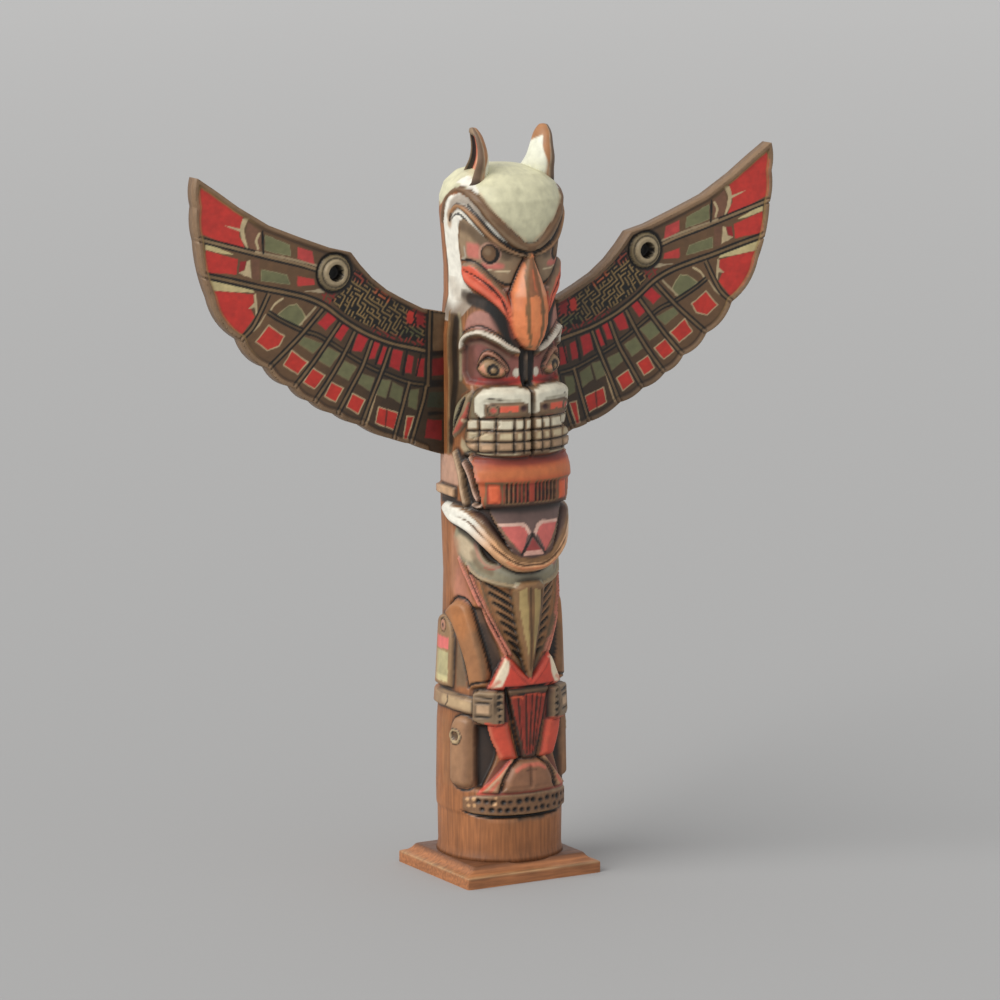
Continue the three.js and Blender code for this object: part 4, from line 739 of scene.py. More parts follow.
# ---------------------------------------------------------------- limbs, belt and the red figure
def lower_body(p):
    leg = p.between([(-62, 161), (-56, 165.4), (-48, 168.6), (-40, 166.4), (-35.6, 158), (-30.4, 145), (-25.4, 129), (-25, 118)],
                    [(-62, 157), (-57, 155), (-52, 150.6), (-46, 141.6), (-42, 133.4), (-39.6, 126), (-38, 119.6), (-37.4, 116)])
    inner = p.between([(-38, 166), (-33, 154), (-27.4, 138), (-23.6, 124)], [(-30, 166), (-25, 154), (-18.6, 141), (-16.4, 130)])
    p.sink(inner, 2.6, edge=2.4)
    p.coat(inner, paint_of(104, 76, 54), soft=3, strength=0.9)
    # Painted shade: a dark wash in the recess beside the leg.
    p.shade_and_stain(p.line([(-31, 152), (-25, 138), (-20, 128)], 3), paint_of(50, 36, 28), reach=5, strength=0.8)
    p.rise(leg, 3.6, edge=3.4)
    p.coat(leg, paint_of(160, 108, 66), soft=1)
    p.coat(p.area([(-54, 164), (-44, 166), (-38, 158), (-40, 146), (-48, 152)], smooth=True), paint_of(176, 112, 62), soft=5, strength=0.7)
    p.coat(p.line([(-33, 150), (-29, 136), (-27, 124)], 3), paint_of(104, 80, 56), soft=4, strength=0.7)
    for points, width in (([(-60, 163.4), (-54, 168.4), (-47, 170.4), (-39, 167.6), (-34.4, 158.6), (-29.2, 145), (-24.2, 129), (-23.6, 121)], 1.9),
                          ([(-59, 155.6), (-54, 151.6), (-48, 143.6), (-43.6, 134), (-40.6, 125), (-38.6, 117)], 1.2),
                          ([(-38.4, 116.6), (-35, 119.4), (-29, 121), (-24, 121.8)], 1.6)):
        cut = p.line(points, width)
        p.groove(cut, 1.3)
        p.coat(cut, BLACK, strength=0.95)
    p.coat(p.area([(-50, 146), (-45, 138), (-41, 127), (-39.6, 117), (-49, 116), (-50, 130)]), paint_of(118, 98, 74), soft=3, strength=0.85)
    # side post with its ring and painted panels
    post = p.between([(-52, 115), (-51.6, 130), (-52, 144), (-55, 153), (-60, 157)], [(-80, 113), (-80, 130), (-80, 144), (-78, 152), (-70, 157)])
    # Painted shade round the foot of the post.
    p.shade_and_stain(post, BLACK, reach=3.6, strength=0.9)
    p.rise(post, 2.6, edge=1.6)
    p.coat(post, paint_of(150, 116, 80))
    p.coat(p.area([(-82, 144), (-55.4, 144.6), (-55, 137.4), (-82, 136.4)]), PINK)
    p.coat(p.area([(-82, 135.4), (-55, 136.2), (-55, 120), (-82, 119)]), paint_of(178, 168, 124))
    p.coat(p.area([(-82, 120.6), (-55, 121.4), (-55, 117.6), (-82, 117)]), paint_of(216, 204, 150), soft=1, strength=0.8)
    ring = p.spot(-64, 151, 4.6)
    cut = p.line([(-64 + 4.2 * math.cos(a), 151 + 4.2 * math.sin(a)) for a in np.linspace(0, 6.283, 15)], 1.1)
    p.groove(cut, 0.9)
    p.coat(cut, DARK)
    p.coat(ring, paint_of(176, 124, 100), inset=1.2)
    p.coat(p.spot(-64, 151, 1.6), DARK)
    # belt and buckle
    belt = p.line([(-84, 106.8), (-70, 107), (-58, 107.4), (-46, 106.8), (-33, 105.6)], 9.8)
    # Painted shade round the foot of the belt.
    p.shade_and_stain(belt, BLACK, reach=1.8, strength=0.95)
    p.rise(belt, 2.6, edge=1.6)
    p.coat(belt, paint_of(158, 128, 96))
    p.coat(p.line([(-58, 107.6), (-46, 107), (-35, 106)], 5), paint_of(196, 168, 128), soft=3, strength=0.7)
    p.coat(p.line([(-54.4, 110.6), (-53.4, 107.4), (-56, 103.6)], 0.9), DARK, strength=0.8)
    p.coat(p.line([(-70, 110.8), (-56, 111), (-40, 110.4)], 0.7), paint_of(112, 88, 64), strength=0.7)
    buckle = p.area([(-34, 114.6), (-30, 116.4), (-20.6, 116), (-15.6, 114.8), (-15.8, 96), (-21, 94.6), (-30, 96), (-34, 98)])
    # Painted shade round the foot of the buckle.
    p.shade_and_stain(buckle, BLACK, reach=1.8, strength=0.85)
    p.rise(buckle, 4.8, edge=0.9)
    p.coat(buckle, paint_of(132, 108, 82))
    p.coat(p.line([(-33, 114), (-21.6, 115)], 1.2), paint_of(168, 144, 112), soft=0.8, strength=0.6)
    for z0, z1 in ((112.6, 112.0), (109.4, 108.6), (101.2, 100.2)):
        cut = p.line([(-32.2, z0), (-23, z1)], lambda t: 0.7 + 0.7 * np.sin(3.14 * t))
        p.groove(cut, 1.4)
        p.coat(cut, BLACK)
    p.coat(p.area([(-31, 107.8), (-24.4, 107.4), (-24.4, 102.6), (-31, 103)]), paint_of(190, 156, 122), soft=0.9)
    for u in (-31.8, -23.4):
        p.coat(p.line([(u, 108.6), (u, 101.6)], 0.8), paint_of(92, 72, 52))
    cut = p.line([(-21, 116), (-21, 95)], 0.9)
    p.groove(cut, 0.9)
    p.coat(cut, paint_of(80, 62, 44))
    for z in (112.8, 109.0, 105.0, 101.0, 97.4):
        notch = p.area([(-19.6, z + 1.3), (-19.6, z - 1.0), (-16.8, z + 0.4)])
        p.groove(notch, 1.2, edge=0.8)
        p.coat(notch, BLACK, inset=-0.2)
    # pocket and the hollow beside it
    hollow = p.between([(-34, 95), (-34, 78), (-33.6, 56)], [(-25.6, 95), (-20, 78), (-29, 56)])
    p.sink(hollow, 4.0, edge=2.4)
    # Painted shade: the hollow beside the pocket is painted near black.
    p.coat(hollow, paint_of(54, 38, 28), soft=3)
    pocket = p.area([(-51, 60), (-51.4, 80), (-50.6, 92), (-46, 98.6), (-37, 98.8), (-34.4, 92), (-34.4, 64), (-36.4, 57), (-47, 56.6)], smooth=True)
    # Painted shade round the foot of the pocket.
    p.shade_and_stain(pocket, paint_of(60, 42, 30), reach=2.0, strength=0.7)
    p.rise(pocket, 3.0, edge=3.6)
    p.coat(pocket, paint_of(160, 118, 84), soft=1.4)
    # Painted shade down the pocket's inner side.
    p.coat(p.line([(-37.4, 94), (-37.4, 76), (-38, 60)], 3), paint_of(122, 84, 56), soft=4, strength=0.7)
    for points in ([(-49, 57.4), (-45, 54.8), (-38, 54.6), (-34, 56.6)], [(-35, 98.6), (-42, 100.2), (-48, 97.6)]):
        cut = p.line(points, 1.1)
        p.groove(cut, 1.0)
        p.coat(cut, BLACK)
    circle = [(-45.4 + 3.4 * math.cos(a), 87 + 3.8 * math.sin(a)) for a in np.linspace(0, 6.283, 17)]
    p.coat(p.line(circle, 2.6), DARK)
    ring = p.line(circle, 1.5)
    p.groove(p.spot(-45.4, 87, 2.4), 0.9)
    p.rise(ring, 3.9, edge=0.8, low=3.0)
    p.coat(ring, paint_of(190, 164, 124), inset=0.2)
    p.coat(p.spot(-45.4, 87, 1.5), paint_of(110, 84, 58))
    # side of the log
    p.coat(p.area([(-56, 98), (-53, 90), (-52, 70), (-46, 56), (-60, 56), (-64, 96)]), paint_of(150, 104, 66), soft=5, strength=0.5)


def red_figure(p, u):
    chest = p.area([(2, 121), (-5, 127.6), (-10.6, 134), (-14.6, 137), (-17, 134.6), (-21, 127), (-27, 117), (-20, 116), (2, 117)])
    p.rise(chest, 4.0, edge=2.4)
    p.coat(chest, paint_of(206, 70, 52))
    # Painted highlight: an elongated cream-white patch on the red chest.
    p.coat(p.area([(-15.6, 136), (-12.8, 134.6), (-14, 126), (-17, 118.6), (-24, 117), (-20.6, 126)], smooth=False), paint_of(236, 220, 190), inset=0.3, soft=1.2)
    p.coat(p.line([(-16.6, 135.4), (-20.6, 128), (-26, 118)], 1.3), paint_of(196, 110, 100), soft=1, strength=0.8)
    p.coat(p.line([(-19, 122), (-24, 118)], 2.4), paint_of(214, 120, 96), soft=1.6, strength=0.7)
    cut = p.line([(-2, 119.4), (-9, 127), (-13.6, 134)], 0.8)
    p.coat(cut, paint_of(120, 42, 34), strength=0.5)
    leg = p.between([(-26.6, 97), (-24.8, 88), (-18.4, 74)], [(-13.4, 97), (-11.4, 88), (-8, 74)])
    p.rise(leg, 3.2, edge=3.0)
    p.coat(leg, paint_of(206, 78, 54))
    p.coat(p.line([(-24.6, 94), (-22.6, 86), (-17.6, 75)], 2.2), paint_of(216, 116, 88), soft=2, strength=0.7)
    p.coat(p.area([(-16.4, 116), (-13.6, 116), (-12.6, 96), (-15.4, 96)]), paint_of(128, 52, 40), soft=1)
    vest = p.area([(2, 117.4), (-14.8, 117.4), (-12, 103), (-8.6, 88), (-4.4, 73.6), (2, 73.6)])
    p.rise(vest, 2.2, edge=2.2)
    p.coat(vest, paint_of(48, 30, 22))
    p.coat(p.area([(2, 113), (-12.4, 112.6), (-10, 101), (-6.8, 88), (-2.8, 76), (2, 76)]), paint_of(150, 50, 34), inset=0.3)
    top = p.area([(2, 116.8), (-14.4, 116.8), (-13.6, 113.4), (2, 113.8)])
    p.add(top, 0.7, edge=0.8)
    p.coat(top, paint_of(104, 76, 52), inset=0.2)
    p.across = u
    for x0, x1, width in ((-7.6, -4.2, 0.9), (-2.0, -1.6, 1.3), (2.2, 0.2, 1.1), (5.6, 2.2, 1.2), (8.8, 3.4, 0.9)):
        cut = p.line([(x0, 112.4), ((x0 + x1) / 2, 94), (x1, 77)], width)
        p.groove(cut, 0.9)
        p.coat(cut, paint_of(84, 40, 26))
    p.coat(p.line([(-10.6, 111.8), (-6, 112), (-4.4, 110.6)], 1.2), paint_of(214, 96, 60), soft=0.9)
    p.coat(p.line([(-2.6, 112.8), (3, 112.6), (10.6, 111.4)], 1.3), paint_of(196, 74, 48), soft=1)
    p.across = -np.abs(u)
    for points, width in (([(-15.4, 118), (-12.8, 103.4), (-9.6, 88.6), (-5.6, 73.4)], 1.6), ([(2, 118), (-15, 118)], 1.2), ([(2, 73.4), (-6, 73.6), (-9.4, 73)], 1.4)):
        cut = p.line(points, width)
        p.groove(cut, 1.2)
        p.coat(cut, BLACK)
    # feet: a low dome between two slopes, and the line under it
    p.coat(p.area([(2, 75), (-8, 74), (-19, 73), (-31, 55), (-31, 52.6), (2, 52.6)]), paint_of(120, 66, 46))
    slope = p.between([(-12, 74.6), (-19, 66), (-30, 54.4)], [(-9.6, 74), (-14, 64), (-19, 54)])
    p.rise(slope, 3.4, edge=2.2)
    p.coat(slope, paint_of(176, 130, 96))
    p.coat(p.line([(-13, 73), (-20.4, 64.4), (-29.6, 54.6)], 1.5), paint_of(208, 86, 66), soft=1)
    p.coat(p.line([(-19.4, 61), (-23.6, 55)], 1.6), paint_of(206, 96, 78), soft=1.4, strength=0.8)
    dome = p.between([(2, 53.6), (-15.4, 53.6), (-17, 54.4)], [(2, 74), (-5, 73.6), (-9, 72)])
    dome = p.area([(2, 53.6), (-17.6, 54), (-16.6, 62), (-12.6, 69.6), (-7, 73.4), (2, 74)])
    p.rise(dome, 4.6, edge=5)
    p.coat(dome, paint_of(144, 100, 72))
    p.coat(p.line([(2, 70.4), (-5, 70), (-9, 67.6)], 2.0), paint_of(206, 104, 82), soft=1.4, strength=0.85)
    p.coat(p.line([(1, 67.6), (-3, 67.4)], 1.0), paint_of(84, 50, 34), soft=1, strength=0.8)
    cut = p.line([(-6.6, 73.6), (-12.4, 70.2), (-16.8, 62.4), (-19, 54.4)], 1.2)
    p.groove(cut, 1.2)
    p.coat(cut, DARK)
    cut = p.line([(2, 53.8), (-16, 53.6), (-31, 53.2)], 1.3)
    p.coat(cut, paint_of(196, 84, 64), soft=0.9)


def foot_band(p, u):
    shelf = p.area([(2, 53.2), (-20, 53), (-32, 52), (-41, 50), (-41, 43), (-34, 40.4), (2, 39.6)])
    p.add(shelf, 0.8, edge=1.2)
    p.coat(shelf, paint_of(128, 92, 62), soft=1.6, cover=0.5)
    p.coat(p.line([(2, 52.6), (-20, 52.2), (-33, 51)], 1.0), paint_of(150, 120, 88), strength=0.8, cover=0.5)
    p.coat(p.line([(2, 40.8), (-20, 41), (-36, 42)], 1.0), paint_of(146, 112, 78), strength=0.8, cover=0.5)
    cut = p.line([(2, 39.0), (-18, 39.2), (-34, 40.2), (-43, 42.2)], lambda t: 2.4 * (1 - t**4) + 0.3)
    p.groove(cut, 2.4, edge=1.0)
    p.coat(cut, BLACK)
    p.across = u
    rng = np.random.default_rng(31)
    for row, z in enumerate((48.8, 43.6)):
        x = -30.6 + 2.2 * row
        while x < 34:
            size = rng.uniform(0.9, 1.5)
            at = z + rng.uniform(-0.5, 0.5) + (0.6 if x < -26 else 0)
            hole = p.spot(x, at, size, squash=rng.uniform(0.7, 1.0))
            p.coat(p.spot(x, at, size + 0.6), paint_of(84, 56, 36), soft=1)
            p.groove(hole, 1.4, edge=0.8)
            p.coat(hole, BLACK, loose=0.3)
            x += rng.uniform(3.6, 5.6)
    for x, z in ((-37.2, 49.6), (-36.4, 45.8), (-33.2, 50.2), (-33, 46.2), (-20.6, 51.4), (-21.4, 47.6)):
        p.coat(p.spot(x, z, 1.1), paint_of(226, 176, 124), soft=0.9, strength=0.85)
    p.across = -np.abs(u)


TRUE_U = U.ravel()
red_figure_first = (lower_body, )
set_forward(BEAK, 24, KEEL)
beak_alone = pole.lift.copy()
pole.lift[:] = 0
upper_bird(pole)
pole.lift = np.maximum(pole.lift, beak_alone)
beak_paint(pole, TRUE_U)
toothed_face(pole, TRUE_U)
beak_mask = beak_alone > 0.5
pole.lift = np.maximum(pole.lift, np.where(beak_mask, beak_alone, -99))
beak_paint(pole, TRUE_U)
scroll(pole, TRUE_U)
lower_face(pole)
bowl(pole)
set_forward(LONG_BEAK, 28, KEEL)
long_beak_paint(pole, TRUE_U)
lower_body(pole)
red_figure(pole, TRUE_U)
foot_band(pole, TRUE_U)

# ---------------------------------------------------------------- dark stain and painted shade in the hollows, wear and painted highlight on the edges
lift = pole.lift.reshape(U.shape)
paint = pole.paint.reshape(*U.shape, 3)
cover = pole.cover.reshape(U.shape)
fine = soften(lift, 1.5, 1.5, wrap=True) - lift
broad = soften(lift, 5.0, 5.0, wrap=True) - lift
# Darkening in the hollows, fine and broad: partly a dark stain in the grooves, partly painted shade.
hollow_stain_and_shade = np.clip(0.55 * np.clip(fine, 0, 1.4) + 0.16 * np.clip(broad, 0, 3), 0, 0.82)
# Lighter convex edges: worn paint and a painted highlight.
worn = np.clip(-fine * 0.9 - 0.12, 0, 1) * (0.55 + 0.45 * noise(U, Z, 3.1, 40)) * 0.5
blotch = 1 + 0.07 * noise(U, Z, 9, 41) + 0.05 * noise(U, Z, 2.2, 42)
streak = 1 + (0.10 * noise(U * 1.0, Z * 0.14, 1.3, 43) + 0.08 * noise(U, Z * 0.2, 4.0, 44)) * (1 - 0.75 * cover)
paint = paint * (blotch * streak)[..., None]
paint += (paint_of(150, 120, 88) - paint) * np.clip(worn, 0, 0.6)[..., None]
paint += (paint_of(26, 18, 12) - paint) * hollow_stain_and_shade[..., None]
behind = step((np.abs(U) - 66) / 14)
paint += (STAIN * (blotch * streak)[..., None] * 0.9 - paint) * (behind * (Z < 404))[..., None]
# Painted shade: the log darkens towards its foot, most where it meets the plate.
foot = step((30 - Z) / 20) * 0.25 + step((15.5 - Z) / 4) * 0.4
paint += (STAIN_DARK * 0.6 - paint) * foot[..., None]


def attribute(mesh, name, values, kind="FLOAT_COLOR"):
    layer = mesh.attributes.new(name, kind, "POINT")
    if kind == "FLOAT_COLOR":
        rgba = np.ones((len(values), 4), np.float32)
        rgba[:, :3] = np.clip(values, 0, 1)
        layer.data.foreach_set("color", rgba.ravel())
    else:
        layer.data.foreach_set("value", np.asarray(values, np.float32))


def piece(name, points, faces, colours, covers, node, material):
    mesh = bpy.data.meshes.new(name)
    mesh.from_pydata((np.asarray(points) * MM).tolist(), [], faces)
    attribute(mesh, "paint", colours)
    attribute(mesh, "cover", covers, "FLOAT")
    mesh.shade_smooth()
    mesh.materials.append(material)
    made = bpy.data.objects.new(name, mesh)
    bpy.context.scene.collection.objects.link(made)
    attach(made, "root")
    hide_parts(node)
    return made


# ---------------------------------------------------------------- materials
def wood_material(name, grain=(1, 1, 0.07), roughness=(0.46, 0.62), streaks=0.3):
    """Stained and painted wood: colour from the paint attribute, grain and brush marks over it."""
    material = bpy.data.materials.new(name)
    material.use_nodes = True
    nodes, links = material.node_tree.nodes, material.node_tree.links
    shader = nodes["Principled BSDF"]
    shader.inputs["Coat Weight"].default_value = 0.12
    shader.inputs["Coat Roughness"].default_value = 0.34
    where = nodes.new("ShaderNodeTexCoord")
    stretch = nodes.new("ShaderNodeMapping")
    stretch.inputs["Scale"].default_value = grain
    links.new(where.outputs["Object"], stretch.inputs["Vector"])
    fibres = nodes.new("ShaderNodeTexNoise")
    fibres.inputs["Scale"].default_value = 620
    fibres.inputs["Detail"].default_value = 5
    links.new(stretch.outputs[0], fibres.inputs["Vector"])
    brush = nodes.new("ShaderNodeTexNoise")
    brush.inputs["Scale"].default_value = 210
    brush.inputs["Detail"].default_value = 4
    links.new(where.outputs["Object"], brush.inputs["Vector"])
    colour = nodes.new("ShaderNodeAttribute")
    colour.attribute_name = "paint"
    cover = nodes.new("ShaderNodeAttribute")
    cover.attribute_name = "cover"
    shade = nodes.new("ShaderNodeMapRange")  # fibres darken bare wood more than paint
    shade.inputs["From Min"].default_value = 0.3
    shade.inputs["From Max"].default_value = 0.7
    shade.inputs["To Min"].default_value = 1 - streaks
    shade.inputs["To Max"].default_value = 1 + streaks * 0.6
    links.new(fibres.outputs["Fac"], shade.inputs["Value"])
    tone = nodes.new("ShaderNodeMapRange")
    tone.inputs["From Min"].default_value = 0.25
    tone.inputs["From Max"].default_value = 0.75
    tone.inputs["To Min"].default_value = 0.86
    tone.inputs["To Max"].default_value = 1.12
    links.new(brush.outputs["Fac"], tone.inputs["Value"])
    pick = nodes.new("ShaderNodeMix")
    links.new(cover.outputs["Fac"], pick.inputs["Factor"])
    links.new(shade.outputs[0], pick.inputs["A"])
    links.new(tone.outputs[0], pick.inputs["B"])
    scaled = nodes.new("ShaderNodeVectorMath")
    scaled.operation = "SCALE"
    links.new(colour.outputs["Color"], scaled.inputs[0])
    links.new(pick.outputs["Result"], scaled.inputs["Scale"])
    links.new(scaled.outputs[0], shader.inputs["Base Color"])
    rough = nodes.new("ShaderNodeMapRange")
    rough.inputs["From Min"].default_value = 0.3
    rough.inputs["From Max"].default_value = 0.7
    rough.inputs["To Min"].default_value, rough.inputs["To Max"].default_value = roughness
    links.new(brush.outputs["Fac"], rough.inputs["Value"])
    links.new(rough.outputs[0], shader.inputs["Roughness"])
    relief = nodes.new("ShaderNodeMix")
    relief.inputs["Factor"].default_value = 0.5
    links.new(fibres.outputs["Fac"], relief.inputs["A"])
    links.new(brush.outputs["Fac"], relief.inputs["B"])
    bump = nodes.new("ShaderNodeBump")
    bump.inputs["Strength"].default_value = 0.35
    bump.inputs["Distance"].default_value = 0.0005
    links.new(relief.outputs["Result"], bump.inputs["Height"])
    links.new(bump.outputs["Normal"], shader.inputs["Normal"])
    return material


log_wood = wood_material("painted_log")
wing_wood = wood_material("painted_wing", grain=(0.12, 1, 0.5))
base_wood = wood_material("stained_base", grain=(0.08, 1, 1), streaks=0.34)

# ---------------------------------------------------------------- the log and ears as one piece
EAR_TURN = math.radians(14.5)
EAR = np.array([  # [z, centre x, centre y, half length front to back, half thickness]
    (405, 20.5, -3.5, 15.5, 8.6), (418, 20.8, -4.6, 15.0, 8.4), (424, 21.0, -7.6, 12.8, 7.4), (431, 21.2, -11.6, 10.6, 6.0),
    (438, 21.6, -12.4, 8.6, 4.8), (445, 22.8, -11.6, 6.6, 3.8), (449.2, 23.8, -10.6, 3.4, 2.2), (450, 24.0, -10.4, 1.2, 0.8),
])


def ear(side):
    """Points, faces and paint of one ear, hollowed on its outer face."""
    rows = curve(EAR, 7)
    rows[:, 0] = np.minimum(rows[:, 0], 450)
    around = 56
    a = np.arange(around) / around * 2 * math.pi
    points, colours = [], []
    for z, cx, cy, long, thick in rows:
        ca, sa = np.cos(a), np.sin(a)
        scoop = step((0.88 - np.abs(ca)) / 0.2) * (sa > 0) * step((z - 416) / 5) * step((447.5 - z) / 4)
        t = thick * (sa * (1 - scoop) - 0.12 * scoop)
        l = long * ca
        points.append(np.stack([
            side * (cx + t * math.cos(EAR_TURN) - l * math.sin(EAR_TURN)), cy + t * math.sin(EAR_TURN) + l * math.cos(EAR_TURN),
            np.full(around, z)], 1))
        tone = np.tile(paint_of(140, 116, 90), (around, 1))  # rims
        wobble = 0.05 * noise(a * 8, np.full(around, z), 3, 50)
        front = -ca  # towards the front is +1
        inner_face = step((-sa - 0.15 + wobble) / 0.15)
        # Painted shade: the white inner face greys towards the ear's foot.
        white = paint_of(232, 232, 214) * (1 - 0.42 * step((426 - z) / 9)) * np.array([1, 1, 0.97 + 0.03 * (z > 426)])
        brown_edge = step((front - 0.50 - 0.35 * step((440 - z) / 14)) / 0.12) + step((z - 441.6 - 3 * front) / 1.6)
        tone += (white - tone) * inner_face[:, None]
        tone += (paint_of(168, 116, 74) - tone) * np.clip(brown_edge * inner_face, 0, 1)[:, None]
        tone += (SALMON * 0.94 - tone) * (scoop > 0.45)[:, None]
        tone += (paint_of(216, 176, 140) - tone) * (step((front - 0.55) / 0.1) * (scoop > 0.3))[:, None] * 0.9
        tone += (CREAM - tone) * (np.exp(-(((front + 0.42 - 0.012 * (z - 430)) / 0.06) ** 2)) * (scoop > 0.6) * (z < 441))[:, None] * 0.8
        tone += (BLACK - tone) * (step((-front - 0.62) / 0.1) * (scoop > 0.25) * (sa > 0))[:, None]
        outer_front = (sa > 0) * step((front - 0.86) / 0.05)
        tone += (paint_of(104, 80, 62) - tone) * outer_front[:, None] * 0.8
        # Painted shadow where the ear's outer face meets the head.
        tone += (DARK - tone) * (step((421.6 - z) / 4) * (sa > 0))[:, None] * 0.8
        colours.append(tone)
    faces = []
    n = len(rows)
    for i in range(n - 1):
        for j in range(around):
            k = (j + 1) % around
            quad = (i * around + j, i * around + k, (i + 1) * around + k, (i + 1) * around + j)
            faces.append(quad if side > 0 else quad[::-1])
    top = tuple(range((n - 1) * around, n * around))
    foot = tuple(range(around))[::-1]
    faces += [top, foot] if side > 0 else [top[::-1], foot[::-1]]
    return np.vstack(points), faces, np.vstack(colours)


def log_piece():
    r = BODY + lift
    points = np.stack([r * np.sin(ANGLE), -r * np.cos(ANGLE), Z], -1).reshape(-1, 3)
    rows, cols = U.shape
    index = np.arange(rows * cols).reshape(rows, cols)
    right = np.roll(index, -1, axis=1)
    quads = np.stack([index[:-1], right[:-1], right[1:], index[1:]], -1).reshape(-1, 4)
    faces = [tuple(q) for q in quads.tolist()]
    faces.append(tuple(index[0][::-1].tolist()))
    faces.append(tuple(index[-1].tolist()))
    colours, covers = paint.reshape(-1, 3), cover.ravel()
    for side in (-1, 1):
        p, f, c = ear(side)
        faces += [tuple(v + len(points) for v in face) for face in f]
        points = np.vstack([points, p])
        colours = np.vstack([colours, c])
        covers = np.concatenate([covers, np.ones(len(p))])
    return piece("carved_log", points, faces, colours, covers, "pole", log_wood)


log_piece()

# ---------------------------------------------------------------- wings
FACE, BACK, ROOT = 8.2, 17.2, 30.0
WING_TOP = [(32, 339), (47, 342.2), (60, 348.6), (72, 355.2), (82, 363), (90, 371.5), (96, 379), (110, 382.5), (130, 390), (150, 398),
            (170, 410), (184, 420), (196, 428)]
FEATHER_ENDS = [(196.2, 411), (195, 391), (187, 357.5), (168.1, 331.9), (150, 314), (133.5, 301.6), (120.3, 291.8), (104.7, 283.6), (88.7, 276.1),
                (67.1, 265.8), (55.5, 262.4), (32, 253.6)]
FEATHER_BULGE = [1.2, 1.2, 1.6, 3.4, 3.0, 2.4, 1.8, 1.6, 1.4, 1.4, 0.6, 0.8]


def wing_outline():
    points = [(ROOT, 253.0), (ROOT, 338.6), *WING_TOP]
    px, pz = WING_TOP[-1]
    for (x, z), bulge in zip(FEATHER_ENDS, FEATHER_BULGE):
        ox, oz = z - pz, px - x
        size = math.hypot(ox, oz)
        for k in range(1, 9):
            t = k / 8
            b = 4 * t * (1 - t) * bulge / size
            points.append((px + (x - px) * t - ox * b, pz + (z - pz) * t - oz * b))
        px, pz = x, z
    return np.array(points)


BOSS = (106.5, 367.5)
RIDGE_B = [(44, 316.6), (57, 320), (70, 323.6), (86, 330.4), (100, 338.8), (113, 348.4), (125, 354), (140, 358.2), (155, 361.8), (175, 367.2), (191, 371.2)]
LINE_H = [(45, 296.6), (57, 299), (72, 305), (83, 310), (95, 317), (108, 325.6), (118, 331.6), (128, 335), (142, 342), (150, 347)]
SHAFTS = [  # lines between the feathers, from the root outwards
    [(45, 297), (47, 288), (50, 279), (55.4, 263)], [(57, 298), (62, 282), (67.2, 266)], [(69, 321.6), (75, 307), (82, 292), (88.6, 276.6)],
    [(81, 327.6), (88, 311), (96, 298), (104.6, 284.2)], [(92, 333.6), (101, 318), (110, 305), (120, 292.4)],
    [(101, 340), (113, 325), (123, 313), (133.2, 302.2)], [(113, 348), (127, 334), (138, 324.4), (149.6, 314.8)],
]


def maze_distance(x, z, cell, seed):
    """Distance to the nearest wall of a seeded maze on a tilted grid, in millimetres."""
    rng = np.random.default_rng(seed)
    tilt = math.radians(34)
    x = x + 0.5 * noise(x, z, 5, seed + 1)
    z = z + 0.5 * noise(x, z, 5, seed + 2)
    a = (x * math.cos(tilt) + z * math.sin(tilt)) / cell
    b = (-x * math.sin(tilt) + z * math.cos(tilt)) / cell
    n = 160
    # a binary-tree maze with some walls knocked out: each cell opens one way at random
    opens = rng.integers(0, 2, (n, n))
    right_wall = (opens == 0) & (rng.uniform(size=(n, n)) > 0.12)
    upper_wall = (opens == 1) & (rng.uniform(size=(n, n)) > 0.12)
    i, j = np.floor(a).astype(int), np.floor(b).astype(int)
    fa, fb = a - i, b - j
    far = np.full(np.shape(x), 9.0)
    for di in (-1, 0, 1):
        for dj in (-1, 0, 1):
            ci, cj = (i + di) % n, (j + dj) % n
            # wall on the +a side of the cell, and wall on the +b side
            d = np.hypot(fa - (di + 1), np.maximum(np.maximum(dj - fb, fb - dj - 1), 0))
            far = np.where(right_wall[ci, cj], np.minimum(far, d), far)
            d = np.hypot(fb - (dj + 1), np.maximum(np.maximum(di - fa, fa - di - 1), 0))
            far = np.where(upper_wall[ci, cj], np.minimum(far, d), far)
    return far * cell


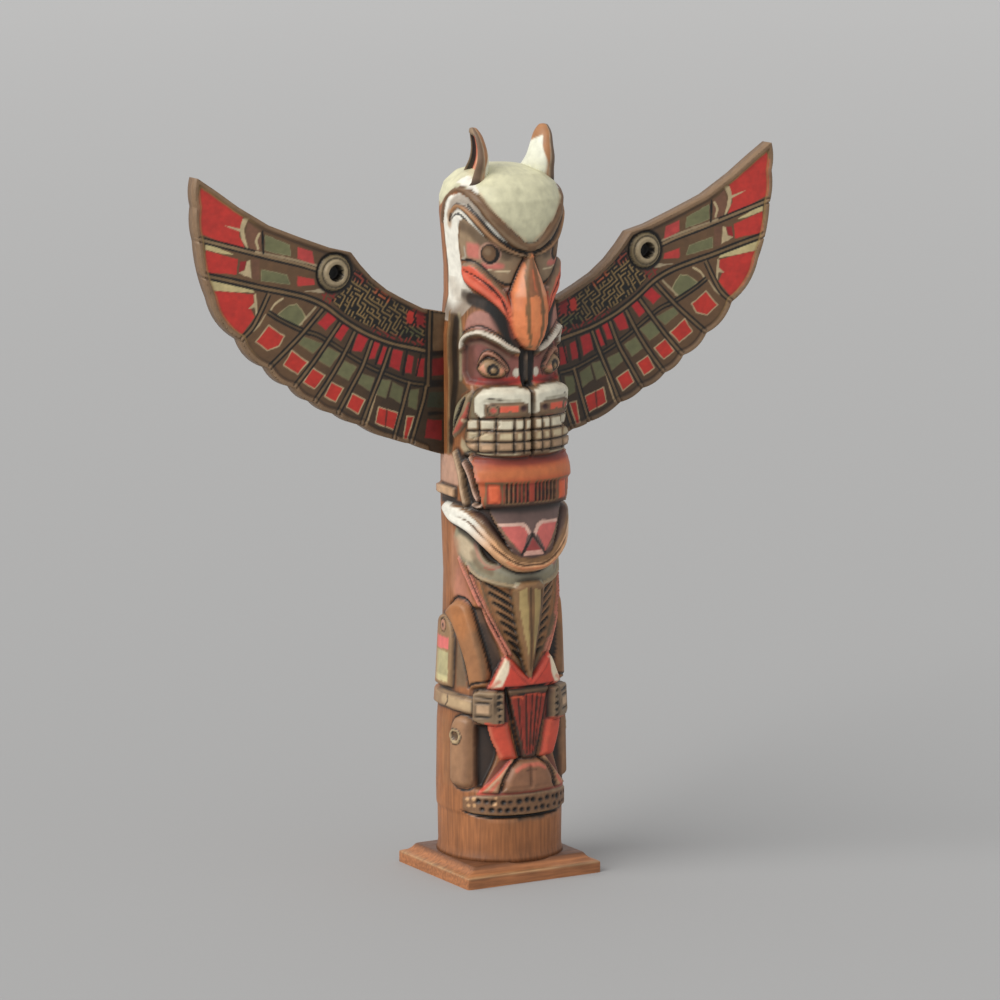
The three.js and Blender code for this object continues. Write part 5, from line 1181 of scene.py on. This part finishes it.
def carve_wing(w, field):
    """Relief and paint of a wing's face; `field` is the depth inside the outline."""
    wood = paint_of(92, 68, 44)
    x, z = w.across, w.up
    # Painted shade: the ground darkens towards the root, next to the log.
    out = step((x - 60) / 90)
    w.paint = paint_of(62, 46, 30) + (paint_of(112, 82, 54) - paint_of(62, 46, 30)) * out[:, None]
    w.cover[:] = 0.8
    # the maze between the top rim and the feather rows
    patch = w.area([(45.6, 339), (60, 345.6), (72, 352), (82, 360), (92, 369), (96, 366), (96, 360), (102, 356), (109, 351.4), (100, 343), (86, 335),
                    (70, 328.4), (57, 324.4), (46, 321.4)])
    d = maze_distance(x[patch.at], z[patch.at], 2.35, 77)
    wall = step((0.62 - d) / 0.4) * step(patch.depth / 0.8)
    inside = step(patch.depth / 0.6 + 0.5)
    w.lift[patch.at] += inside * (-1.3) + 1.2 * wall
    # The gold of the maze walls is dimmed towards the root: painted shade next to the log.
    wall_gold = paint_of(150, 122, 76) * (0.75 + 0.5 * step((x[patch.at] - 52) / 40))[:, None]
    w.paint[patch.at] += (BLACK - w.paint[patch.at]) * inside[:, None]
    w.paint[patch.at] += (wall_gold - w.paint[patch.at]) * (wall * 0.8)[:, None]
    for outline, colour in (([(46, 341), (53, 344), (54, 333), (46, 331)], CRIMSON), ([(53, 341), (57.4, 342), (58.6, 335), (54, 333)], RED),
                            ([(48, 331), (60, 331), (62, 325), (50, 322)], paint_of(80, 88, 56)), ([(68, 350), (78, 357), (80, 353), (70, 347)], paint_of(196, 92, 54)),
                            ([(84, 363), (92, 368), (94, 363), (86, 359)], CRIMSON), ([(46, 324), (70, 329), (80, 334), (80, 330), (60, 323), (46, 319)], CRIMSON),
                            ([(104, 356), (114, 357), (114, 351), (108, 350)], CRIMSON)):
        m = w.area(outline, smooth=True)
        near = step(m.depth / 2 + 0.5)
        dist = maze_distance(x[m.at], z[m.at], 2.35, 77)
        w.paint[m.at] += (colour * 0.9 - w.paint[m.at]) * (near * step((0.75 - dist) / 0.5) * 0.8)[:, None]
    # Darker copies of crimson and red near the root: painted shade next to the log.
    block = w.area([(46.6, 341.4), (51.6, 342.6), (51.8, 333), (46.6, 332)])
    w.coat(block, CRIMSON * 0.7, inset=0.3)
    w.coat(w.area([(53.4, 340.4), (57, 341.6), (58, 336), (55, 334)], smooth=True), RED * 0.8, inset=0.1)

    def cell(outline, colour, border=None, sink=0.35, inset=0.5, border_strength=0.9):
        m = w.area(outline)
        if border is not None:
            w.coat(m, border, inset=-0.1, strength=border_strength)
            w.coat(m, colour, inset=inset, loose=0.6)
        else:
            w.coat(m, colour, loose=0.6)
        w.add(m, -sink, edge=0.6)

    cream = paint_of(206, 184, 142)
    # Cells darken towards the root: painted shade next to the log.
    shaded_near_root = lambda c, at: c * (0.62 + 0.38 * min(1.0, max(0.0, (at - 40) / 60)))
    # rows of coverts above the cross line
    for outline in ([(46.2, 312.6), (51, 313), (52.8, 302.4), (46.6, 301)], [(53.2, 314.4), (57.6, 316), (60.2, 305.2), (55.2, 304)],
                    [(60.6, 318), (67.6, 319.8), (70.4, 309.4), (63.2, 306)], [(71.4, 321), (74.2, 322), (78.4, 311.6), (75.2, 310.8)],
                    [(76, 324), (80.6, 326.8), (84.2, 314.6), (79.8, 314.6)], [(83, 328.6), (90.6, 331.8), (95.4, 320.6), (88.6, 319.2)],
                    [(95.8, 335.2), (101, 340.4), (107.8, 330.6), (102.4, 326.2)], [(103.4, 341.4), (110, 345.8), (118, 338.6), (112.4, 333.6)]):
        cell(outline, shaded_near_root(paint_of(190, 42, 44), outline[0][0] + 20), border=shaded_near_root(paint_of(120, 70, 56), outline[0][0]), inset=0.35)
    # olive patches below it
    for outline in ([(50, 294.6), (56.6, 294.4), (58, 284.6), (52, 282.4)], [(60.6, 296), (68, 300), (70.4, 291.4), (62.6, 287)],
                    [(69.2, 301), (75.6, 302.4), (79, 293.4), (72.4, 290.6)], [(80.2, 303.4), (89, 307), (91, 300.8), (83.2, 296)],
                    [(92, 310.8), (100, 315.2), (105.4, 307.6), (97.4, 303)], [(103, 319.6), (111, 324), (118, 317.2), (110, 311.8)],
                    [(114.2, 326.2), (127.4, 331.4), (130.4, 327.2), (121, 321)]):
        cell(outline, shaded_near_root(OLIVE * 0.85, outline[0][0] + 10), border=shaded_near_root(paint_of(150, 138, 98), outline[0][0]), inset=0.4, border_strength=0.6)
    # red patches near the feather ends
    for outline in ([(53.2, 278.4), (58.6, 279), (60.8, 265.6), (58.4, 264.6)], [(64, 281.4), (77.4, 286.4), (80, 276.4), (67, 271)],
                    [(86.4, 291), (95, 295.6), (99.4, 287.4), (91, 282.4)], [(100.6, 299), (109, 303.4), (113.8, 295), (106, 290.6)],
                    [(113, 307.4), (121, 312.6), (128, 304.4), (120, 299.4)], [(124.4, 316), (135, 324), (141, 315.4), (131, 309)],
                    [(139.6, 332.4), (150, 339.6), (158.8, 330.4), (151, 324.6), (143.4, 327)]):
        cell(outline, shaded_near_root(paint_of(204, 52, 40), outline[0][0] + 20), border=cream, inset=0.55)
    w.coat(w.line([(71.8, 285), (73, 273)], 0.8), DARK, strength=0.8)
    w.coat(w.line([(68.6, 299), (71.8, 289)], 0.8), DARK, strength=0.7)
    # first wide feather: olive half disc with a cream edge, cream arc
    cell([(125.6, 342.4), (128.6, 347.6), (131.4, 351.2), (137.4, 350.4), (144, 345.4), (138, 341), (132, 337.6), (128, 338.6)], OLIVE * 0.85,
         border=paint_of(176, 164, 120), inset=0.5)
    w.coat(w.line([(140.6, 354.6), (146, 351.6), (149.6, 346.6)], 1.5), cream)
    w.coat(w.line([(119, 348), (124, 343.4), (129.4, 338.6)], 1.1), paint_of(190, 170, 132), strength=0.8)
    w.coat(w.line([(76.4, 302), (80, 292), (84, 280), (86.6, 275.6)], lambda t: 1.0 + 0.9 * t), paint_of(196, 166, 124), strength=0.85)
    w.coat(w.line([(152, 346), (156, 340.6), (160, 337)], 1.0), cream, strength=0.7)
    # primaries
    cell([(119.6, 372.6), (121, 381.2), (130.6, 384.2), (131, 377.4)], paint_of(196, 70, 66))
    cell([(135, 378.8), (135.6, 385.8), (151.8, 392.6), (152.4, 383.4)], OLIVE * 0.92, border=paint_of(150, 146, 108), inset=0.3)
    cell([(120, 364.6), (131, 367.2), (131, 361), (119.4, 361.2)], paint_of(196, 62, 56))
    cell([(135.8, 362.6), (138, 368.2), (154.4, 372.6), (155, 365.8)], OLIVE * 0.82, border=paint_of(150, 144, 104), inset=0.3)
    w.coat(w.area([(154.8, 394.4), (163, 401), (165, 393), (161.6, 384), (154.8, 383.6)]), paint_of(128, 88, 66))
    w.coat(w.area([(156, 378), (161, 379), (160.4, 367.4), (156, 366.4)]), paint_of(120, 82, 60))
    w.coat(w.line([(155.6, 393.6), (157.8, 389.6), (156.6, 385)], 1.5), cream)
    w.coat(w.area([(162.6, 403), (167, 402), (168.6, 396.6), (166.8, 390), (162.8, 384), (164.6, 391), (165, 396.6)], smooth=True), cream)
    w.coat(w.area([(160.8, 367.6), (161.6, 378.6), (164, 378), (165.4, 372.8), (169, 371.6), (165, 369.4)]), cream)
    w.coat(w.area([(164, 378.4), (168.6, 378.4), (169, 372), (165.6, 373)]), CRIMSON)
    cell([(164.8, 385.2), (168.6, 393), (167.8, 399), (166.4, 403.6), (178, 412), (193, 422), (195.6, 417), (196, 408), (194.4, 395.6), (180, 390)],
         paint_of(206, 56, 46))
    w.coat(w.area([(167.8, 397.2), (178.4, 399.6), (167.8, 395)]), cream, loose=0.4)
    cell([(169.6, 379.4), (190.4, 386), (191, 372.8), (170.8, 370.6)], paint_of(204, 54, 44))
    w.coat(w.area([(172, 382.2), (190.4, 390.4), (190.6, 386.4), (180, 383.2)]), paint_of(214, 196, 142))
    cell([(159.4, 358.4), (185.6, 362.2), (183.6, 352), (177, 342), (169.4, 336), (166.8, 336.2), (159, 345), (161.6, 350), (159.6, 353.6)], paint_of(206, 54, 44))
    w.coat(w.area([(158.6, 359), (160, 361), (188.6, 368.6), (186.4, 362.4)]), paint_of(214, 196, 142))
    w.coat(w.area([(158.4, 345), (159.8, 358), (158, 359), (157.2, 348)]), cream)
    w.coat(w.area([(158.6, 354), (163.4, 350), (158.8, 350.6)]), cream, loose=0.4)
    w.coat(w.line([(114, 357.4), (119, 357.6), (126, 357.8)], lambda t: 2.2 - 1.6 * t), paint_of(176, 158, 128))
    # root post
    post = w.area([(31, 338.6), (41, 340), (41, 316.6), (31, 316)])
    w.coat(post, paint_of(116, 90, 62), inset=0.4)
    w.coat(w.line([(36, 336), (36, 320)], 4), paint_of(140, 112, 84), soft=4, strength=0.5)
    # The red cells are darker copies of crimson: painted shade next to the log.
    for outline, colour in (([(31, 312.6), (41.4, 312), (41.6, 301.6), (31, 301.6)], CRIMSON * 0.62), ([(31, 291.6), (43.6, 292), (45, 283), (31, 281)], paint_of(52, 58, 42)),
                            ([(34.6, 275), (44.6, 276.2), (46.4, 265), (34.4, 262)], CRIMSON * 0.72)):
        m = w.area(outline)
        w.add(m, -0.3, edge=0.6)
        w.coat(m, colour, inset=0.3)
    for zz, width in ((314.6, 2.6), (296.8, 4.4), (279, 2.2)):
        m = w.line([(29, zz), (43, zz + 0.3)], width)
        w.coat(m, BLACK, soft=1.4)
        w.groove(m, 0.8)

    def double(points, gap=2.7, width=1.25, depth=1.5, ridge=paint_of(128, 102, 70)):
        """A carved line as a light ridge between two dark grooves."""
        line = curve(points)
        along = np.gradient(line, axis=0)
        along /= np.hypot(*along.T)[:, None]
        normal = np.stack([-along[:, 1], along[:, 0]], 1)
        w.coat(w.line(line, gap, smooth=False), ridge, strength=0.9)
        for sign in (-1, 1):
            m = w.line(line + normal * sign * gap / 2, width, smooth=False)
            w.groove(m, depth, edge=0.8)
            w.coat(m, BLACK, loose=0.4)

    single = [(47.4, 320), (52, 303)], [(57.6, 320.4), (61, 304)], [(70, 324), (74.6, 308)], [(74.6, 323), (79.4, 311.4)], [(81, 327), (86.6, 313)], [(91.6, 333.4), (96.4, 319.6)]
    for line in single[:2] + ([(68.4, 323), (71.6, 309)],):
        m = w.line(line, 1.3)
        w.groove(m, 1.0)
        w.coat(m, BLACK)
    for line in single[3:]:
        m = w.line(line, 1.2)
        w.groove(m, 1.0)
        w.coat(m, BLACK)
    double(LINE_H, gap=2.3, width=1.2, ridge=paint_of(96, 76, 50))
    for shaft in SHAFTS:
        double(shaft, gap=2.7)
    double(RIDGE_B, gap=3.0, width=1.5, ridge=paint_of(132, 106, 72))
    double([(42.6, 341), (43, 328), (43.4, 314), (44, 297)], gap=3.2, width=1.5, ridge=paint_of(112, 88, 60))
    double([(150, 357.4), (155, 348), (160.6, 339), (168, 332.4)], gap=2.6)
    double([(115.6, 369.4), (128, 373.6), (150, 379.6), (172, 386), (195, 392.6)], gap=2.8, ridge=paint_of(150, 124, 90))
    w.coat(w.line([(118, 372.4), (134, 377), (158, 383)], 1.3), paint_of(186, 162, 126), strength=0.8)
    m = w.line([(153.6, 394.6), (153.2, 382)], 1.6)
    w.groove(m, 1.1)
    w.coat(m, BLACK)
    # raised rim with a thin gold line inside it round the feather ends
    rim = step((2.7 - field) / 0.7) * (x > 43)
    w.lift = np.maximum(w.lift, -0.2 * rim) + 1.0 * rim * (w.lift > -0.6)
    edge_tone = paint_of(118, 92, 66) + (paint_of(146, 116, 86) - paint_of(118, 92, 66)) * step((x - 90) / 60)[:, None]
    w.paint += (edge_tone - w.paint) * (rim * 0.92)[:, None]
    hair = np.exp(-(((field - 3.0 + w.hand * 0.6) / 0.5) ** 2)) * step((x - 150) / 20) * step((430 - z + (x - 150) * 0.2) / 10)
    w.paint += (GOLD * 1.1 - w.paint) * (hair * 0.75)[:, None]
    dark = np.exp(-(((field - 3.6) / 0.6) ** 2)) * (x > 44)
    w.paint += (paint_of(34, 24, 16) - w.paint) * (dark * 0.6 * (1 - step((x - 150) / 20) * 0.8))[:, None]
    # the eye at the shoulder
    bx, bz = BOSS
    w.coat(w.spot(bx, bz, 12.6), BLACK, soft=1.6)
    w.add(w.spot(bx, bz, 12.4), -0.8, edge=1.2)
    r = np.hypot(x - bx, z - bz)
    ring = (r < 10.6)
    high = 1.6 * step((10.6 - r) / 1.0) + 1.6 * step((8.4 - r) / 1.2) - 0.5 * np.exp(-(((r - 8.0) / 0.5) ** 2))
    w.lift = np.where(ring, np.maximum(high, w.lift * 0), w.lift)
    tone = paint_of(128, 112, 82) + (paint_of(168, 150, 118) - paint_of(128, 112, 82)) * step((8.8 - r) / 1.0)[:, None]
    w.paint = np.where(ring[:, None], tone * (1 + 0.1 * noise(x, z, 2, 61))[:, None], w.paint)
    w.paint = np.where((np.abs(r - 8.6) < 0.5)[:, None], w.paint * 0.5, w.paint)
    hole = step((4.9 - r) / 0.6)
    w.lift += (-3.8 - w.lift) * hole
    w.paint += (paint_of(8, 6, 4) - w.paint) * step((5.3 - r) / 0.6)[:, None]


def wing_piece(side, step_size=0.62):
    outline = wing_outline()
    xs = np.arange(ROOT, 199.5, step_size)
    zs = np.arange(252.4, 430, step_size)
    X, ZZ = np.meshgrid(xs, zs)
    closed = np.vstack([outline, outline[:1]])
    px, pz = X.ravel(), ZZ.ravel()
    best = np.full(px.size, 1e9)
    cx, cz = np.zeros(px.size), np.zeros(px.size)
    inside = np.zeros(px.size, bool)
    for (x0, z0), (x1, z1) in zip(closed, closed[1:]):
        dx, dz = x1 - x0, z1 - z0
        t = np.clip(((px - x0) * dx + (pz - z0) * dz) / max(dx * dx + dz * dz, 1e-12), 0, 1)
        qx, qz = x0 + t * dx, z0 + t * dz
        d = (px - qx) ** 2 + (pz - qz) ** 2
        nearer = d < best
        best = np.where(nearer, d, best)
        cx, cz = np.where(nearer, qx, cx), np.where(nearer, qz, cz)
        if z0 != z1:
            inside ^= ((z0 > pz) != (z1 > pz)) & (px < dx * (pz - z0) / dz + x0)
    depth = np.where(inside, 1, -1) * np.sqrt(best)
    snap = np.abs(depth) < step_size * 0.55
    px, pz = np.where(snap, cx, px), np.where(snap, cz, pz)
    keep = (depth > 0) | snap
    w = Surface(px.reshape(X.shape), pz.reshape(X.shape), paint_of(92, 68, 44), seed=21)
    field = np.where(snap, 0, depth)
    carve_wing(w, np.where(px < 44, 9, field))
    grid = w.lift.reshape(X.shape)
    fine = soften(grid, 1.6, 1.6) - grid
    # Darkening in the wing's hollows: partly a dark stain, partly painted shade.
    hollow_stain_and_shade = np.clip(0.5 * np.clip(fine, 0, 1.5), 0, 0.7).ravel()
    shade = 1 + 0.08 * noise(px, pz, 7, 62) + 0.06 * noise(px, pz, 1.8, 63) + 0.05 * noise(px * 0.3, pz, 1.4, 64)
    w.paint *= shade[:, None]
    w.paint += (paint_of(24, 17, 11) - w.paint) * hollow_stain_and_shade[:, None]
    root_shade = step((52 - px) / 20) * 0.35
    w.paint *= (1 - root_shade)[:, None]
    index = np.full(px.size, -1)
    index[keep] = np.arange(keep.sum())
    index = index.reshape(X.shape)
    quads = np.stack([index[:-1, :-1], index[:-1, 1:], index[1:, 1:], index[1:, :-1]], -1).reshape(-1, 4)
    held = (quads >= 0).sum(1)
    faces = [tuple(q) for q in quads[held == 4].tolist()]
    faces += [tuple(v for v in q if v >= 0) for q in quads[held == 3].tolist()]
    n = int(keep.sum())
    front = np.stack([px, FACE - w.lift, pz], 1)[keep]
    back_groove = np.zeros(px.size)
    plain = Surface(px.reshape(X.shape), pz.reshape(X.shape), paint_of(122, 80, 50), seed=22)
    for line in [*SHAFTS, LINE_H, RIDGE_B]:
        m = plain.line(line, 1.8)
        plain.groove(m, 0.8, edge=1.2)
        plain.coat(m, paint_of(60, 40, 26), strength=0.8, cover=0)
    plain.paint *= (1 + 0.12 * noise(px * 0.25, pz, 2.0, 65) + 0.08 * noise(px, pz, 12, 66))[:, None]
    back = np.stack([px, BACK + plain.lift, pz], 1)[keep]
    points = np.vstack([front, back])
    edges = {}
    for face in faces:
        for a, b in zip(face, face[1:] + face[:1]):
            edges[(a, b)] = edges.get((a, b), 0) + 1
    rim = [(a, b) for a, b in edges if (b, a) not in edges]
    walls = [(b, a, a + n, b + n) for a, b in rim]
    faces = faces + [tuple(v + n for v in face[::-1]) for face in faces] + walls
    colours = np.vstack([w.paint[keep], plain.paint[keep]])
    on_rim = np.unique(np.array(rim).ravel())
    colours[on_rim] = paint_of(140, 112, 84)
    colours[on_rim + n] = paint_of(128, 98, 70)
    covers = np.concatenate([w.cover[keep], np.zeros(n)])
    points[:, 0] *= side
    if side < 0:
        faces = [face[::-1] for face in faces]
    name = "wing_left" if side > 0 else "wing_right"
    return piece("feathered_" + name, points, faces, colours, covers, name, wing_wood)


for side in (-1, 1):
    wing_piece(side)


# ---------------------------------------------------------------- foot plate
def plate_piece():
    """A square plate with an upright edge and a hollow-curved slope up to the log."""
    rows = curve([(0, 1.0), (0.5, 1.0), (3, 1.0), (6.0, 1.0), (6.7, 0.992), (7.1, 0.972), (7.4, 0.945), (8.1, 0.91), (9.4, 0.876), (10.8, 0.852), (11.7, 0.835), (12, 0.82)], 4)
    rows[:, 0] = np.clip(rows[:, 0], 0, 12)
    rows[:, 1] = np.minimum(rows[:, 1], 1.0)
    per_side, corner = 40, 1.6
    ring = []
    for k in range(4):
        c, s = round(math.cos(k * math.pi / 2)), round(math.sin(k * math.pi / 2))
        for t in np.linspace(-1, 1, per_side, endpoint=False):
            a, b = 1.0, t
            ring.append((c * a - s * b, s * a + c * b))
    ring = np.array(ring)
    points, colours = [], []
    wear = paint_of(176, 142, 102)
    for z, k in rows:
        half = np.array([46.0, 43.0]) * k
        p = ring * half
        over = np.abs(p) - (half - corner)
        both = (over > 0).all(1)
        length = np.hypot(*np.clip(over, 0, None).T)
        p = np.where(both[:, None], np.sign(p) * (half - corner + over * (corner / np.maximum(length, 1e-6))[:, None] * np.clip(length / corner, 0, 1)[:, None]), p)
        points.append(np.column_stack([p, np.full(len(p), z)]))
        tone = np.tile(paint_of(168, 108, 66), (len(p), 1)) * (1 + 0.10 * noise(p[:, 0], p[:, 1] + 7 * z, 9, 70) + 0.06 * noise(p[:, 0], p[:, 1], 2.5, 71))[:, None]
        edge = math.exp(-(((z - 6.6) / 0.7) ** 2))
        tone += (wear - tone) * (edge * (0.6 + 0.3 * noise(p[:, 0], p[:, 1], 5, 72)))[:, None]
        # Darker on the slope up to the log: dirt, and a painted shadow where the plate meets the log.
        tone += (STAIN_DARK * 0.5 - tone) * step((0.885 - k) / 0.06) * 0.75
        points[-1][:, 2] -= 0.0
        colours.append(tone)
    n, m = len(ring), len(rows)
    faces = [(i * n + j, i * n + (j + 1) % n, (i + 1) * n + (j + 1) % n, (i + 1) * n + j) for i in range(m - 1) for j in range(n)]
    faces += [tuple(range(n))[::-1], tuple(range((m - 1) * n, m * n))]
    made = piece("moulded_plate", np.vstack(points), faces, np.vstack(colours), np.zeros(n * m), "base_plate", base_wood)
    made.data.shade_smooth()
    made.data.set_sharp_from_angle(angle=math.radians(40))


plate_piece()

# ---------------------------------------------------------------- floor and light
floor_mesh = bpy.data.meshes.new("floor")
floor_mesh.from_pydata([(-60, -60, 0), (60, -60, 0), (60, 60, 0), (-60, 60, 0)], [], [(0, 1, 2, 3)])
floor = bpy.data.objects.new("floor", floor_mesh)
bpy.context.scene.collection.objects.link(floor)
paper = bpy.data.materials.new("floor")
paper.use_nodes = True
shader = paper.node_tree.nodes["Principled BSDF"]
shader.inputs["Roughness"].default_value = 0.9
shader.inputs["Specular IOR Level"].default_value = 0.1
place = paper.node_tree.nodes.new("ShaderNodeTexCoord")
far = paper.node_tree.nodes.new("ShaderNodeVectorMath")
far.operation = "LENGTH"
paper.node_tree.links.new(place.outputs["Object"], far.inputs[0])
# Painted light falloff: the floor is darker near the object and lighter far off.
painted_falloff = paper.node_tree.nodes.new("ShaderNodeMapRange")
painted_falloff.inputs["From Min"].default_value = 0.0
painted_falloff.inputs["From Max"].default_value = 6.5
painted_falloff.inputs["To Min"].default_value = 0.40
painted_falloff.inputs["To Max"].default_value = 0.49
paper.node_tree.links.new(far.outputs["Value"], painted_falloff.inputs["Value"])
paper.node_tree.links.new(painted_falloff.outputs[0], shader.inputs["Base Color"])
floor_mesh.materials.append(paper)

world = bpy.data.worlds.new("studio")
bpy.context.scene.world = world
world.use_nodes = True
world.node_tree.nodes["Background"].inputs["Color"].default_value = (1.0, 1.0, 1.0, 1)
world.node_tree.nodes["Background"].inputs["Strength"].default_value = 0.62


def sun(name, towards, strength, angle, colour=(1, 1, 1)):
    light = bpy.data.lights.new(name, "SUN")
    light.energy, light.angle, light.color = strength, math.radians(angle), colour
    lamp = bpy.data.objects.new(name, light)
    from mathutils import Vector
    lamp.rotation_euler = Vector(towards).to_track_quat("-Z", "Y").to_euler()
    bpy.context.scene.collection.objects.link(lamp)


sun("key", (0.86, 0.12, -0.62), 2.3, 50, (1.0, 0.985, 0.96))
